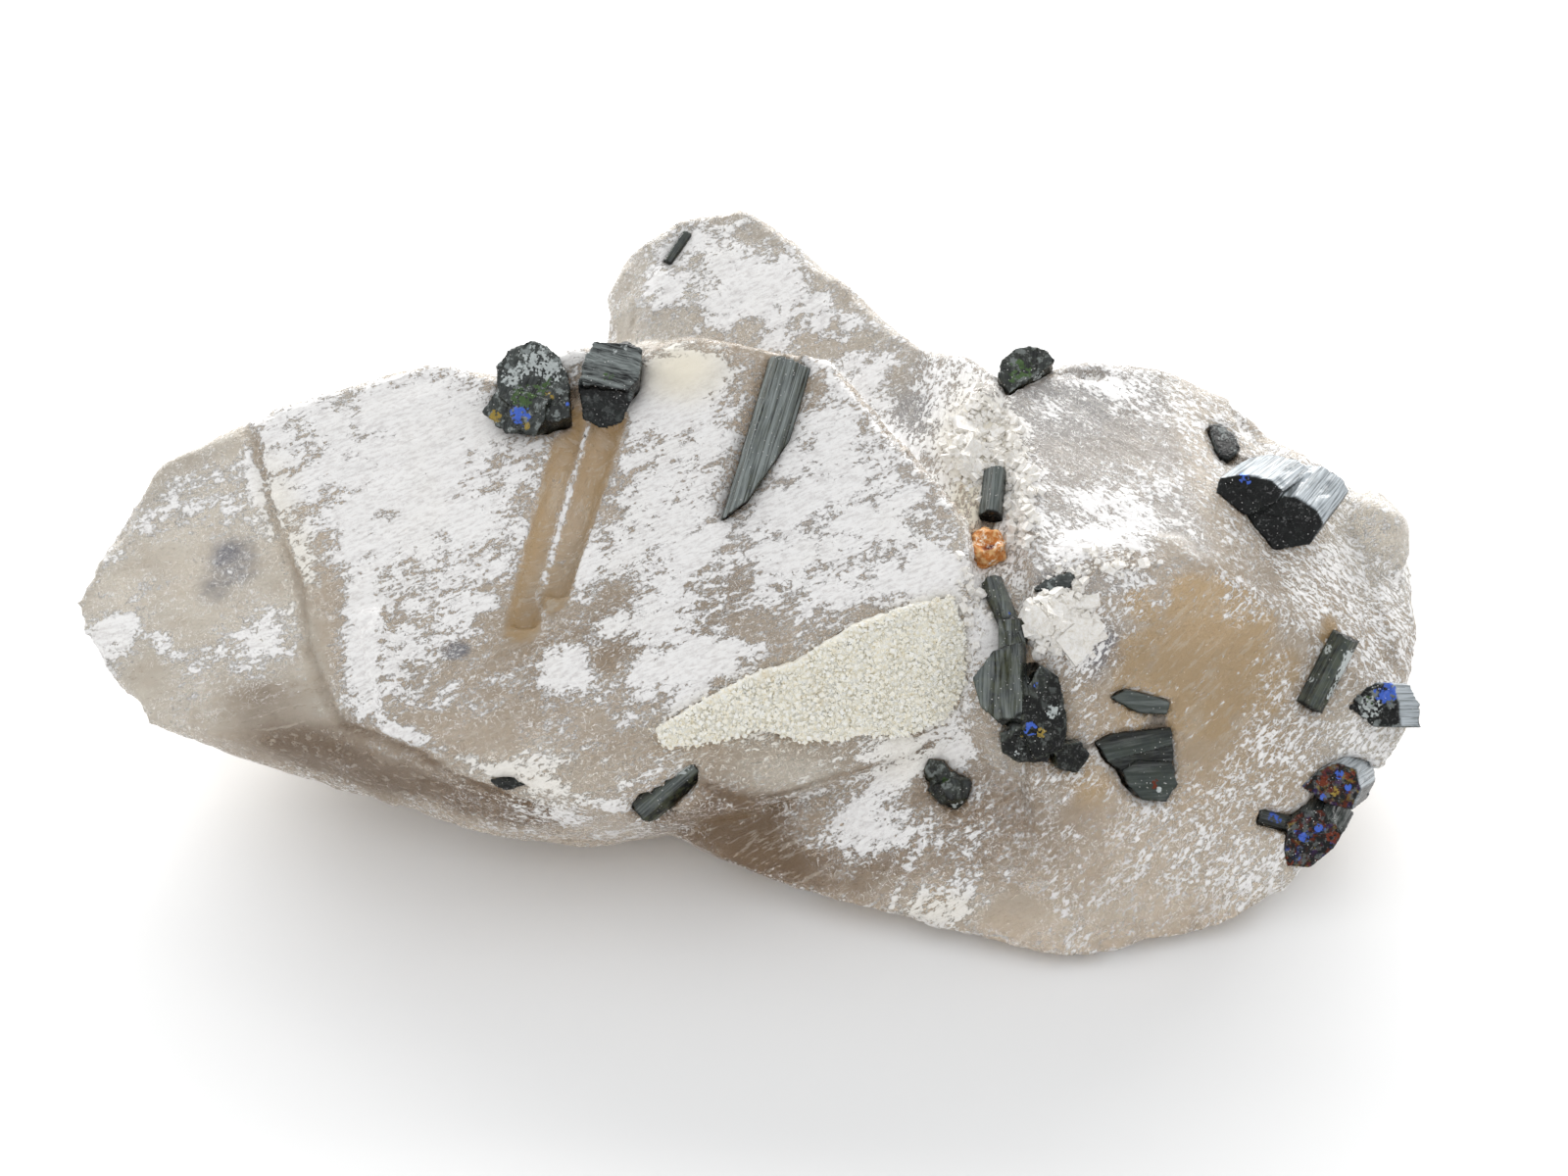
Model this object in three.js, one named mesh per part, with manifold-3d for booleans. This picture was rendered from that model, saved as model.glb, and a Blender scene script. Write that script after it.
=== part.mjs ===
// A hand-sized cluster of smoky quartz crystals grown into each other, with dark green to black
// tourmaline rods set in it, a sugary albite crust on one face and a rusty lump in the valley.
// Millimetres, +Z up. X runs along the cluster, and its best side faces -Y and up.

import * as THREE from "three";
import { ConvexGeometry } from "three/addons/geometries/ConvexGeometry.js";
import { mergeVertices } from "three/addons/utils/BufferGeometryUtils.js";
import Module from "manifold-3d";

const wasm = await Module();
wasm.setup();

// The faces of the crystals. Each is a plane: its height over the origin, and its rise for each
// millimetre along X and along Y.
const FACES = {
  broad: { level: 28.5, alongX: 0.1, alongY: 0.55 },
  leftEnd: { level: 45.5, alongX: 0.548, alongY: 0.746 },
  steepFront: { level: 46.2, alongX: -0.302, alongY: 1.643 },
  lowFront: { level: 28.8, alongX: 0.27, alongY: 1.2 },
  rearTop: { level: 26.1, alongX: -0.141, alongY: 0.533 },
  rightTop: { level: 27.3, alongX: 0, alongY: 0.222 },
  rightShoulder: { level: 36, alongX: -0.25, alongY: 0.192 },
  rightFront: { level: 54.5, alongX: -0.401, alongY: 1.536 },
  rightSide: { level: 51.2, alongX: -0.633, alongY: 0.344 },
  valley: { level: 26, alongX: 0, alongY: 0.3 },
};
const SEAT_GAP = 0.3; // clear space between a piece and its pocket
const MERGE_DISTANCE = 1e-4;

// A tourmaline rod's section: round, leaning to three-sided, with sharp lengthwise ribs.
const ROD_RIBS = 9;
const RIB_DEPTH = 0.07; // share of the radius
const TRIANGULARITY = 0.07; // share of the radius
const POCKET_SIDES = 12;

// A rough lump: its corners on a stretched ball, each moved in or out a little.
const LUMP_CORNERS = 15;
const LUMP_ROUGHNESS = 0.14; // share of the half-size

const SHARD_DEPTH = 3; // how far a broken piece reaches behind its face, unless it says so
const SHARD_OPENING = 1.5; // the quartz is open this far in front of such a face

const CUT_BLOCK = 60; // a cut takes away everything within this distance past its plane
const LEDGE_ROOT = 1.5; // how far a ledge reaches into its face
const LEDGE_LEAN = 0.85; // its top is smaller than its foot
const CRUST_RISE = 0.4; // the albite crust over its face
const CRUST_SINK = 0.5; // and how deep it sits in the face

const QUARTZ = { color: 0xb9ab9a, roughness: 0.45, metalness: 0 };
const TOURMALINE = { color: 0x26302d, roughness: 0.3, metalness: 0 };
const ALBITE = { color: 0xe9dcc0, roughness: 0.85, metalness: 0 };
const RUST = { color: 0xc2701f, roughness: 0.9, metalness: 0 };

const vector = (corner) => new THREE.Vector3(...corner);

// Corners that lie on a named face, from their places in plan.
const onFace = (name, places) => {
  const { level, alongX, alongY } = FACES[name];
  return places.map(([x, y]) => [x, y, level + alongX * x + alongY * y]);
};

// A face's unit normal, pointing up and out.
const normalOf = (name) => {
  const { alongX, alongY } = FACES[name];
  return new THREE.Vector3(-alongX, -alongY, 1).normalize();
};

// Numbers from 0 to 1 that look random and are the same for the same seed.
function randomFrom(seed) {
  let state = Math.floor(seed * 7919) + 17;
  return () => {
    state = (state * 48271) % 2147483647;
    return state / 2147483647;
  };
}

// A closed geometry as a solid for joining and cutting.
function toSolid(geometry) {
  const bare = new THREE.BufferGeometry().setAttribute("position", geometry.getAttribute("position"));
  if (geometry.index) bare.setIndex(geometry.index);
  const merged = mergeVertices(bare, MERGE_DISTANCE);
  return new wasm.Manifold(
    new wasm.Mesh({
      numProp: 3,
      vertProperties: merged.attributes.position.array,
      triVerts: new Uint32Array(merged.index.array),
    }),
  );
}

function toGeometry(solid) {
  const mesh = solid.getMesh();
  const geometry = new THREE.BufferGeometry();
  geometry.setAttribute("position", new THREE.BufferAttribute(new Float32Array(mesh.vertProperties), 3));
  geometry.setIndex(new THREE.BufferAttribute(new Uint32Array(mesh.triVerts), 1));
  geometry.computeVertexNormals();
  return geometry;
}

const join = (solids) => solids.reduce((whole, next) => whole.add(next));
const cut = (solid, tools) => tools.reduce((left, tool) => left.subtract(tool), solid);

// The crystal whose corners are given: flat faces between them.
const crystal = (corners) => toSolid(new ConvexGeometry(corners.map(vector)));

// A rough convex lump with the given half-sizes. Its seed turns it and moves its corners. Its own X
// can be laid along a direction.
function lump({ at, half, seed = 1, along = [1, 0, 0], corners = LUMP_CORNERS }, grow = 0) {
  const random = randomFrom(seed);
  const points = Array.from({ length: corners }, (_, i) => {
    const height = 1 - (2 * i + 1) / corners;
    const ring = Math.sqrt(1 - height * height);
    const angle = i * 2.4 + seed;
    const reach = 1 + LUMP_ROUGHNESS * (2 * random() - 1);
    return new THREE.Vector3(
      (half[0] * reach + grow) * ring * Math.cos(angle),
      (half[1] * reach + grow) * ring * Math.sin(angle),
      (half[2] * reach + grow) * height,
    );
  });
  const lay = new THREE.Quaternion().setFromUnitVectors(new THREE.Vector3(1, 0, 0), vector(along).normalize());
  return toSolid(new ConvexGeometry(points).applyQuaternion(lay).translate(...at));
}

// Everything past the plane through a point, on the side that its normal points to.
function beyond(point, normal, lift = 0) {
  const up = vector(normal).normalize();
  const geometry = new THREE.BoxGeometry(CUT_BLOCK, CUT_BLOCK, CUT_BLOCK);
  geometry.translate(0, 0, CUT_BLOCK / 2 + lift);
  geometry.applyQuaternion(new THREE.Quaternion().setFromUnitVectors(new THREE.Vector3(0, 0, 1), up));
  geometry.translate(...point);
  return toSolid(geometry);
}

// A closed outline round the origin, from its reach at each of a number of angles.
function outline(steps, reachAt) {
  const points = Array.from({ length: steps }, (_, i) => {
    const angle = (i / steps) * 2 * Math.PI;
    const reach = reachAt(angle, i);
    return new THREE.Vector2(reach * Math.cos(angle), reach * Math.sin(angle));
  });
  return new THREE.Shape(points);
}

const ribbedSection = (radius) =>
  outline(2 * ROD_RIBS, (angle, i) => {
    const bulge = 1 - TRIANGULARITY + TRIANGULARITY * Math.cos(3 * angle);
    return radius * bulge * (i % 2 ? 1 : 1 - RIB_DEPTH);
  });

const roundSection = (radius) => outline(POCKET_SIDES, () => radius / Math.cos(Math.PI / POCKET_SIDES));

// A straight bar of one section from foot to tip, turned about its own length.
function bar(section, foot, tip, turn = 0) {
  const run = vector(tip).sub(vector(foot));
  const geometry = new THREE.ExtrudeGeometry(section, { depth: run.length(), bevelEnabled: false });
  geometry.rotateZ(turn);
  geometry.applyQuaternion(
    new THREE.Quaternion().setFromUnitVectors(new THREE.Vector3(0, 0, 1), run.normalize()),
  );
  geometry.translate(...foot);
  return toSolid(geometry);
}

// A broken piece. Its face is an outline on a tilted plane, given to the right and uphill from a
// point on it, and drawn back into the quartz.
function shard({ at, facing, face, along, depth = SHARD_DEPTH }, grow = 0, opening = 0) {
  const up = vector(facing).normalize();
  const right = new THREE.Vector3(0, 0, 1).cross(up).normalize();
  const uphill = up.clone().cross(right);
  const flat = face.map(([u, v]) => new THREE.Vector2(u, v));
  const edge = grow > 0 ? spreadOutline(flat, grow) : flat;
  const inward = along ? vector(along).normalize() : up.clone().negate();
  const placed = edge.map((p) => vector(at).addScaledVector(right, p.x).addScaledVector(uphill, p.y));
  const front = placed.map((p) => p.clone().addScaledVector(up, opening));
  const back = placed.map((p) => p.clone().addScaledVector(inward, depth + grow));
  return toSolid(new ConvexGeometry([...front, ...placed, ...back]));
}

// One growth of a tourmaline, a ribbed rod, a broken piece or a rough lump, cut by the planes that
// it broke along.
function growth({ breaks = [], ...form }) {
  const whole = wholeGrowth(form);
  return cut(whole, breaks.map(({ at, facing }) => beyond(at, facing)));
}

function wholeGrowth(form) {
  if (form.foot) return bar(ribbedSection(form.radius), form.foot, form.tip, form.turn);
  return form.face ? shard(form) : lump(form);
}

// The space that a growth needs in the quartz: the same shape, wider and longer by the seat gap.
function pocket({ breaks = [], ...form }) {
  return cut(roomFor(form), breaks.map(({ at, facing }) => beyond(at, facing, SEAT_GAP)));
}

function roomFor(form) {
  if (form.foot) return roomForRod(form.foot, form.tip, form.radius);
  return form.face ? shard(form, SEAT_GAP, SHARD_OPENING) : lump(form, SEAT_GAP / (1 - LUMP_ROUGHNESS));
}

function roomForRod(foot, tip, radius) {
  const along = vector(tip).sub(vector(foot)).setLength(SEAT_GAP);
  const from = vector(foot).sub(along).toArray();
  const to = vector(tip).add(along).toArray();
  return bar(roundSection(radius + SEAT_GAP), from, to);
}

// The broad crystal lies across the left two thirds. Its flat top is the best face.
function broadCrystal() {
  return crystal([
    ...onFace("broad", [
      [-40, 4.2],
      [-38.2, 6.6],
      [-26.2, 9.1],
      [-14, 9.4],
      [-3, 9.2],
      [6.5, 7],
      [17.4, -6],
      [17, -9.9],
      [-17.4, -22.2],
      [-26.9, -18],
      [-30.9, -15.8],
    ]),
    ...onFace("leftEnd", [
      [-44.2, 5.3],
      [-48.1, 5.6],
      [-50.1, 3.4],
      [-53.4, 0.9],
      [-54.7, -1.2],
      [-53.9, -3.9],
      [-51.4, -7.9],
      [-47.7, -11.7],
    ]),
    ...onFace("steepFront", [
      [-7.4, -22.5],
      [2.2, -21],
      [18.2, -16.1],
    ]),
    // its lower front edge
    [-40, -12.8, 8],
    [-32, -15.3, 7],
    [-23.3, -17.6, 6],
    [-18.6, -19.1, 5],
    [-12.5, -18.9, 4],
    [-9.1, -17.8, 4],
    // the side that it lies on
    [-45, 1, 7],
    [-24, -8, 0],
    [-30, 8, 1.5],
    [-4, -13, 0],
    [-20, 17, 0],
    [4, 18, 0],
    // its back
    [-47, 10, 15],
    [-39, 17, 17],
    [-22, 23, 16],
    [-2, 25, 14],
    [10, 22, 12],
  ]);
}

// The rear crystal stands up behind the broad one and makes the highest point.
function rearCrystal() {
  return crystal([
    ...onFace("rearTop", [
      [-5.9, 20],
      [-1, 21.9],
      [1.4, 21.2],
      [5.8, 18.2],
      [9.6, 15.4],
      [14.4, 11.8],
      [10.9, 5],
      [-4.8, 5],
      [-8.2, 9],
    ]),
    // the rounded end on its left
    [-9.9, 18, 35.4],
    [-12, 16.5, 32],
    [-12.2, 14, 29.5],
    [-11, 9, 26],
    // its back
    [-10, 24, 27],
    [-2, 28.2, 27],
    [9, 26.5, 22],
    [17, 20, 20],
    [-8, 23, 8],
    [8, 24, 6],
    [16, 14, 10],
  ]);
}

// The right crystal points at the viewer: its faces meet at a blunt tip.
function rightCrystal() {
  return crystal([
    ...onFace("rightTop", [
      [21.2, 7.9],
      [23.7, 9.8],
      [27.8, 11.1],
      [33.6, 10.4],
      [36, -9.8],
      [22.2, -12],
    ]),
    ...onFace("rightShoulder", [
      [37.6, 9],
      [40, 8.3],
      [41.5, 6.8],
    ]),
    ...onFace("rightFront", [
      [43.2, -11],
      [24.1, -28.2],
      [28.8, -27.2],
      [37.4, -24.8],
      [43.7, -21.5],
      [49.1, -16.9],
      [52, -14],
      [21.6, -20.8],
    ]),
    ...onFace("rightSide", [
      [53.8, -6.1],
      [54.2, 0.5],
      [50.4, 4.6],
      [42.4, 6.5],
    ]),
    // its back
    [23, 20, 22],
    [36, 19, 21.5],
    [46, 13, 17],
    [51, 7, 11],
    [22, 22, 10],
    [38, 20, 8],
    // the side that it lies on
    [24, 18, 0],
    [40, 13, 0],
    [48.5, -4, 0],
    [44.5, -14, 0],
    [35, -23, 0],
    [25.5, -26, 0],
    [20, -16, 0],
  ]);
}

// The low crystal runs under the other two along the front.
function lowCrystal() {
  return crystal([
    ...onFace("lowFront", [
      [-8.3, -17.2],
      [8.4, -23.8],
      [22, -15.5],
      [10, -15.5],
    ]),
    [-0.1, -20.6, 3.4],
    [18.2, -26.6, 2],
    [24.3, -28.3, 1.6],
    [27, -22, 10],
    [26, -8, 16],
    [-7, -13, 0],
    [8, -19.5, 0],
    [24, -26, 0],
    [30, -4, 0],
    [0, 5, 0],
    [-4, -4, 12],
  ]);
}

// The valley between the broad and the right crystal, filled with smaller growth.
function valleyGrowth() {
  return crystal([
    ...onFace("valley", [
      [13.5, 12.8],
      [18, 12.2],
      [21.5, 9],
      [22, -4],
      [20.5, -11.5],
      [17.5, -11.5],
      [9, 0],
    ]),
    [17.4, -17.2, 16],
    [21, -19, 16],
    [20, -19.5, 8],
    // its back
    [14, 21, 17],
    [26, 19, 16],
    [8, 20.5, 6],
    [25, 21, 5],
    // the side that it lies on
    [2, 17, 0.6],
    [12, 19, 0.6],
    [26, 18, 0.6],
    [16, -12, 4],
  ]);
}

// Rounded knobs that stand out of the crystals.
const KNOBS = [
  { at: [51.1, 1.6, 18.5], half: [3.4, 4.4, 4.5], seed: 3, corners: 24 },
  { at: [47.6, 5.4, 18.8], half: [3.2, 3.4, 2.8], seed: 5 },
  { at: [28.4, -25.4, 2], half: [3, 1.9, 2], seed: 2 },
  { at: [34, -23.8, 2.8], half: [3.6, 1.5, 2.2], seed: 6 },
  { at: [41.6, -21, 3.4], half: [1.8, 1.5, 1.8], seed: 4 },
  { at: [-12.4, -17, 6], half: [5.6, 2.2, 2.8], seed: 7 },
  { at: [22.6, -12.4, 21.6], half: [1.7, 2.4, 3], seed: 9 },
  { at: [25.4, -13.6, 20], half: [1.8, 1.6, 2.4], seed: 10 },
  { at: [19.4, 8.4, 27.2], half: [1.8, 3, 2.2], seed: 11 },
  { at: [17.2, 3.2, 26], half: [1.6, 3.4, 1.8], seed: 12 },
  { at: [41, 15, 15], half: [5, 4.4, 5.4], seed: 13 },
  { at: [-30, 16, 12], half: [6, 5, 5], seed: 14 },
  { at: [4, 23, 10], half: [6, 4.4, 6], seed: 15 },
];

// Low steps where a growth layer stops short of the edge: corners in plan on a face, and the height.
const LEDGES = [
  {
    face: "broad",
    places: [[-8.4, 8.6], [-5, 9.6], [-1.2, 8.8], [-1, 7.6], [-3.5, 5], [-5.6, 5.6], [-7.8, 6.6]],
    height: 0.6,
  },
  {
    face: "broad",
    places: [[-30, -9.2], [-28.4, -9], [-26.8, -13.4], [-25.6, -17.4], [-27.4, -17.6], [-29, -13.6]],
    height: 0.6,
  },
  {
    face: "rightTop",
    places: [[22.8, -11.4], [35.4, -9.4], [34, -7], [31, -6.4], [27, -7.6], [24, -6.6]],
    height: 0.5,
  },
  {
    face: "rightSide",
    places: [[50.4, 2.6], [53.4, -0.4], [53.4, -5.4], [51.4, -9.4], [50, -7], [50.6, -3]],
    height: 0.5,
  },
  {
    face: "lowFront",
    places: [[6, -18.6], [10.4, -20.2], [14, -19.4], [15, -17], [11, -15.8], [7.4, -16.2]],
    height: 0.6,
  },
];

function ledge({ face, places, height }) {
  const foot = onFace(face, places).map(vector);
  const centre = foot.reduce((sum, p) => sum.add(p), new THREE.Vector3()).divideScalar(foot.length);
  const up = normalOf(face);
  const top = foot.map((p) => centre.clone().lerp(p, LEDGE_LEAN).addScaledVector(up, height));
  const root = foot.map((p) => p.clone().addScaledVector(up, -LEDGE_ROOT));
  return toSolid(new ConvexGeometry([...foot, ...top, ...root]));
}

// Lumps that have broken out of the faces and corners.
const CHIPS = [
  { at: [-19.2, 14, 30.6], half: [8.4, 6, 3], seed: 21, corners: 40 },
  { at: [43.4, 7.6, 26], half: [4.6, 4.6, 3], seed: 31, corners: 24 },
  { at: [-55, 1.6, 19.6], half: [2, 2, 1.6], seed: 22 },
  { at: [-51.8, 7.2, 24.6], half: [2.4, 2.2, 1.8], seed: 23 },
  { at: [28.6, -17, 22.4], half: [4.6, 3.4, 4.4], seed: 24 },
  { at: [27.4, -11.6, 26.4], half: [3, 1.6, 1.2], seed: 25 },
  { at: [48.4, -19.2, 6.4], half: [2.4, 1.6, 2], seed: 26 },
  { at: [-40, -15.8, 9.2], half: [2.6, 2, 2.2], seed: 27 },
  { at: [-36, 19, 17], half: [4, 3, 3], seed: 28 },
  { at: [18, 24, 20], half: [5, 4.6, 5], seed: 29 },
  { at: [52, 10, 12], half: [4, 4, 4], seed: 30 },
];

// Edges worn by small chips: the edge's two ends, how many chips, and their size.
const WORN_EDGES = [
  { from: [-54.8, -1.4, 15.2], to: [-48.4, 5.8, 23.4], count: 3, size: 0.9 },
  { from: [-53.8, -4.6, 12.6], to: [-48, -11.8, 10.4], count: 3, size: 0.9 },
  { from: [-40, 4.4, 27.2], to: [-31, -15.6, 17.1], count: 4, size: 0.4 },
  { from: [17.2, -5.6, 27.3], to: [7, 6.6, 33.1], count: 4, size: 0.4 },
  { from: [-17, -22.2, 14.8], to: [16.6, -10.2, 24.8], count: 6, size: 0.45 },
  { from: [-30.6, -16, 16.8], to: [-17.6, -22.3, 14.7], count: 3, size: 0.7 },
  { from: [1.6, 21.3, 37.2], to: [14.2, 11.9, 30.5], count: 4, size: 0.6 },
  { from: [36.2, -10, 25], to: [43.2, -11, 20.4], count: 3, size: 0.4 },
  { from: [43.6, -22, 3.4], to: [28.6, -27.8, 1.2], count: 4, size: 0.9 },
  { from: [54.4, -5.6, 14.6], to: [52.4, -13.8, 12.2], count: 3, size: 0.8 },
  { from: [8.6, -24.2, 2], to: [23.6, -28.6, 1.6], count: 3, size: 0.7 },
  { from: [-40, -13.2, 7.6], to: [-23.4, -18, 5.6], count: 3, size: 0.9 },
  { from: [24, 10, 29.6], to: [39, 9, 28.6], count: 4, size: 0.6 },
];
const CHIP_LENGTH = 2.6; // a chip is this many times longer than its size, along its edge
const CHIP_CORNERS = 10;

function wear({ from, to, count, size }, order) {
  const random = randomFrom(order + 40);
  const along = vector(to).sub(vector(from)).toArray();
  return Array.from({ length: count }, (_, i) => {
    const share = (i + 0.1 + 0.8 * random()) / count;
    const at = vector(from).lerp(vector(to), share).toArray();
    const scale = size * (0.5 + random());
    const half = [scale * CHIP_LENGTH, scale, scale];
    return lump({ at, half, along, seed: order + i, corners: CHIP_CORNERS });
  });
}

// Moulds: open channels where a rod has come out, from foot to tip of the lost rod.
const MOULDS = [
  { foot: [-17.3, -11.4, 20.7], tip: [-13.8, 3.4, 29.6], radius: 1.3 },
  { foot: [-15.2, -9.2, 22.2], tip: [-11, 3.4, 30], radius: 1.5 },
  { foot: [45.8, -11, 19.4], tip: [46.9, -7.6, 21], radius: 1.15 },
];

// The tourmalines. Each is the growths that make it up: rods from foot to tip, broken pieces with
// the outline of their face, and rough lumps.
const TOURMALINES = {
  tourmaline_pointed_rod: [
    {
      foot: [-1, -6.7, 24.1],
      tip: [3.6, 7.6, 32.9],
      radius: 1.85,
      turn: 0.2,
      breaks: [
        { at: [3.3, 6.8, 32.9], facing: [0.3, 0.72, 0.66] },
        { at: [-1.7, -4.7, 25.8], facing: [0.63, -0.5, -0.6] },
        { at: [1.3, -1.9, 27.6], facing: [0.83, -0.36, -0.43] },
        { at: [-1.7, -4.7, 25.8], facing: [-0.26, -0.82, -0.5] },
      ],
    },
  ],
  tourmaline_stepped_rod: [
    {
      at: [-11.3, 3.5, 30.9],
      facing: [-0.1, -0.84, 0.45],
      face: [[-2.1, 1.3], [-1.9, 1.9], [1.9, 1.7], [2.2, 0.3], [1.5, -1.5], [0.1, -2.1], [-1.6, -1.5]],
      along: [0.27, 0.81, 0.53],
      depth: 3.6,
    },
    {
      at: [-10.6, 5.7, 33.4],
      facing: [0.05, -0.45, 0.88],
      face: [
        [-2.4, -0.1],
        [-1.9, 1.1],
        [-0.2, 1.8],
        [1.4, 2],
        [2.5, 1],
        [2, -1.5],
        [1, -2.5],
        [-2.4, -1.7],
      ],
    },
  ],
  tourmaline_burred_cluster: [
    {
      at: [-16.5, 5.1, 32.8],
      facing: [0.05, -0.6, 0.8],
      face: [
        [-3.2, 0.9],
        [-2.1, 2.3],
        [-0.5, 2.9],
        [1, 2.4],
        [2, 1.3],
        [2.5, -0.7],
        [2.5, -3.7],
        [0.2, -4.2],
        [-3.2, -1.7],
      ],
      depth: 4,
    },
    {
      at: [-18, 2.7, 30.9],
      facing: [-0.35, -0.8, 0.5],
      face: [[-3.1, -0.8], [-2.4, 1.1], [-0.2, 1.7], [2.2, 1.5], [2.5, -0.2], [1.9, -1.6], [-0.7, -2]],
    },
  ],
  tourmaline_rear_needle: [{ foot: [-6.6, 16.6, 35.7], tip: [-4.9, 19.2, 37], radius: 0.45 }],
  tourmaline_notch_knob: [
    {
      at: [22.5, 9.9, 30.4],
      facing: [-0.05, -0.5, 0.85],
      face: [
        [-2.1, -1.2],
        [-1.9, 0.3],
        [-0.9, 1.4],
        [0.4, 1.7],
        [1.8, 1.4],
        [2.4, 0.5],
        [1.6, -0.5],
        [0.1, -0.9],
        [-1.1, -2.7],
      ],
    },
    { at: [22.6, 11, 28.8], half: [2.2, 2, 1.8], seed: 35 },
  ],
  tourmaline_upper_valley_rod: [
    { foot: [19.2, -3.6, 25.2], tip: [19.8, 0.6, 26.6], radius: 1.05, turn: 0.6 },
  ],
  tourmaline_valley_cluster: [
    { foot: [18.9, -9.4, 23.7], tip: [20.8, -14.6, 21.6], radius: 0.95, turn: 0.3 },
    { foot: [20.4, -12.8, 22.4], tip: [20, -19.4, 18], radius: 1.2, turn: 0.3 },
    {
      at: [19.1, -17.9, 20.4],
      facing: [-0.35, -0.7, 0.6],
      face: [[-2.1, 0], [-1.2, 2.4], [0.6, 3.7], [2.4, -1.4], [1.2, -2.8], [-0.8, -2.1]],
      depth: 2,
    },
    {
      at: [22.8, -18.8, 18.6],
      facing: [0.15, -0.75, 0.62],
      face: [[-1.1, 2.1], [0, 3.7], [1.3, 2.5], [1.6, -0.9], [1.1, -3.1], [-1.3, -3.5], [-2, -1.1]],
      depth: 3.5,
    },
    {
      at: [21.1, -20.1, 16.2],
      facing: [-0.1, -0.85, 0.5],
      face: [[-1.6, -0.6], [-1.8, 0.9], [0, 1.8], [2, 0.6], [2, -1.1], [-0.3, -1.3]],
    },
    {
      at: [25.2, -20.1, 15.2],
      facing: [0.2, -0.8, 0.5],
      face: [[-1.6, 1.1], [0.6, 1], [1.1, -0.1], [0, -1.4], [-1.5, -0.8]],
      depth: 2.5,
    },
  ],
  tourmaline_amber_stub: [
    {
      at: [29.6, -18.7, 14.3],
      facing: [0.21, -0.82, 0.53],
      face: [[-2.7, 1.2], [-1.3, 1.6], [3.5, 1.3], [3.4, -2.4], [-0.6, -1.7], [-2, -0.5]],
    },
    {
      at: [31, -20, 12.5],
      facing: [0.21, -0.82, 0.53],
      face: [[-2.1, 1.1], [-0.8, 1.7], [2.1, 1.1], [2.3, -0.7], [1.2, -1.9], [-0.8, -1.4], [-1.8, -0.1]],
    },
  ],
  tourmaline_amber_flake: [
    {
      at: [30.5, -16.4, 17.2],
      facing: [0.21, -0.82, 0.53],
      face: [[-2.6, 0.9], [-1.2, 1.3], [2.3, -0.2], [1.9, -1.2], [-0.4, -0.7]],
      depth: 1.2,
    },
  ],
  tourmaline_lip_flake: [
    {
      at: [23.8, -11, 24.7],
      facing: [0, -0.6, 0.8],
      face: [[-1.8, -0.4], [-0.9, 0.4], [1.8, 1.2], [1.2, -0.2], [-0.3, -1]],
      depth: 1,
    },
  ],
  tourmaline_low_bud: [
    { at: [15.8, -18.8, 10.4], half: [1.8, 1.5, 1.7], seed: 43 },
    { at: [14.8, -17.8, 11.4], half: [1.2, 1, 1.1], seed: 44 },
  ],
  tourmaline_flush_wedge: [
    {
      at: [38.1, 3.4, 27.5],
      facing: [0.1, -0.22, 0.97],
      face: [[-0.3, 2], [0.7, 1.7], [1.2, 0.4], [1, -1], [-0.5, -1.8], [-1, -1.2], [-0.8, 0.2]],
    },
  ],
  tourmaline_twin_rods: [
    {
      at: [39.5, -2.4, 26.9],
      facing: [-0.1, -0.8, 0.6],
      face: [[-2.7, -0.3], [-2.5, 0.9], [-0.7, 1.3], [1.6, 1], [2.6, 0.2], [2, -0.8], [-0.4, -2]],
      along: [0.58, 0.79, -0.2],
      depth: 5,
    },
    {
      at: [42.8, -3.4, 24.6],
      facing: [-0.1, -0.8, 0.6],
      face: [[-3.7, 0.3], [-1.7, 2], [0.3, 2], [2, 1.1], [2.6, 0.1], [1.6, -1.7], [-1.2, -2.4]],
      along: [0.51, 0.85, -0.06],
      depth: 5.4,
    },
  ],
  tourmaline_green_rod: [
    {
      foot: [43.8, -14.6, 15.1],
      tip: [46.9, -10.5, 19.2],
      radius: 1.2,
      turn: 0.4,
      breaks: [{ at: [46.7, -10.7, 19.2], facing: [0.4, 0.4, 0.82] }],
    },
  ],
  tourmaline_edge_rod_upper: [
    {
      at: [49.1, -14.3, 15.3],
      facing: [-0.35, -0.75, 0.5],
      face: [[-2.2, -1], [-1.7, 0.4], [-0.7, 1.5], [0.6, 1.8], [1.6, 0.5], [2.2, -1.3], [0, -1.9]],
      along: [0.95, 0.2, -0.2],
      depth: 1.8,
    },
  ],
  tourmaline_edge_rod_middle: [
    {
      at: [46, -17.8, 10],
      facing: [0, -0.8, 0.55],
      face: [[-2.7, -0.2], [-1.4, 1.1], [0.1, 1.7], [1.6, 1.2], [2, -0.4], [1.3, -2.1], [-1, -1.5]],
      along: [0.55, 0.8, -0.4],
      depth: 3.5,
    },
  ],
  tourmaline_edge_rod_lower: [
    {
      at: [43.9, -20.3, 6.5],
      facing: [0, -0.8, 0.55],
      face: [
        [-1.9, -0.9],
        [-1.7, 1.2],
        [-0.6, 2.2],
        [1.1, 2.3],
        [2.8, 0.4],
        [1.9, -0.9],
        [0.1, -2.4],
        [-1.6, -2.2],
      ],
      along: [0.4, 0.85, -0.2],
      depth: 3.5,
    },
    { foot: [39.8, -19, 7.8], tip: [43.2, -18.9, 6.4], radius: 0.75, turn: 0.2 },
  ],
  tourmaline_step_flake: [{ at: [-18, -21.7, 13.9], half: [1.5, 0.7, 0.55], seed: 46 }],
  tourmaline_undercut_rod: [
    {
      foot: [-8.2, -21.5, 10.4],
      tip: [-3.8, -18.8, 13],
      radius: 1.4,
      turn: 0.3,
      breaks: [{ at: [-7.8, -22, 10.3], facing: [-0.3, -0.4, -0.85] }],
    },
  ],
  tourmaline_back_rod: [
    {
      foot: [-24, 20.2, 15.4],
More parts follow.
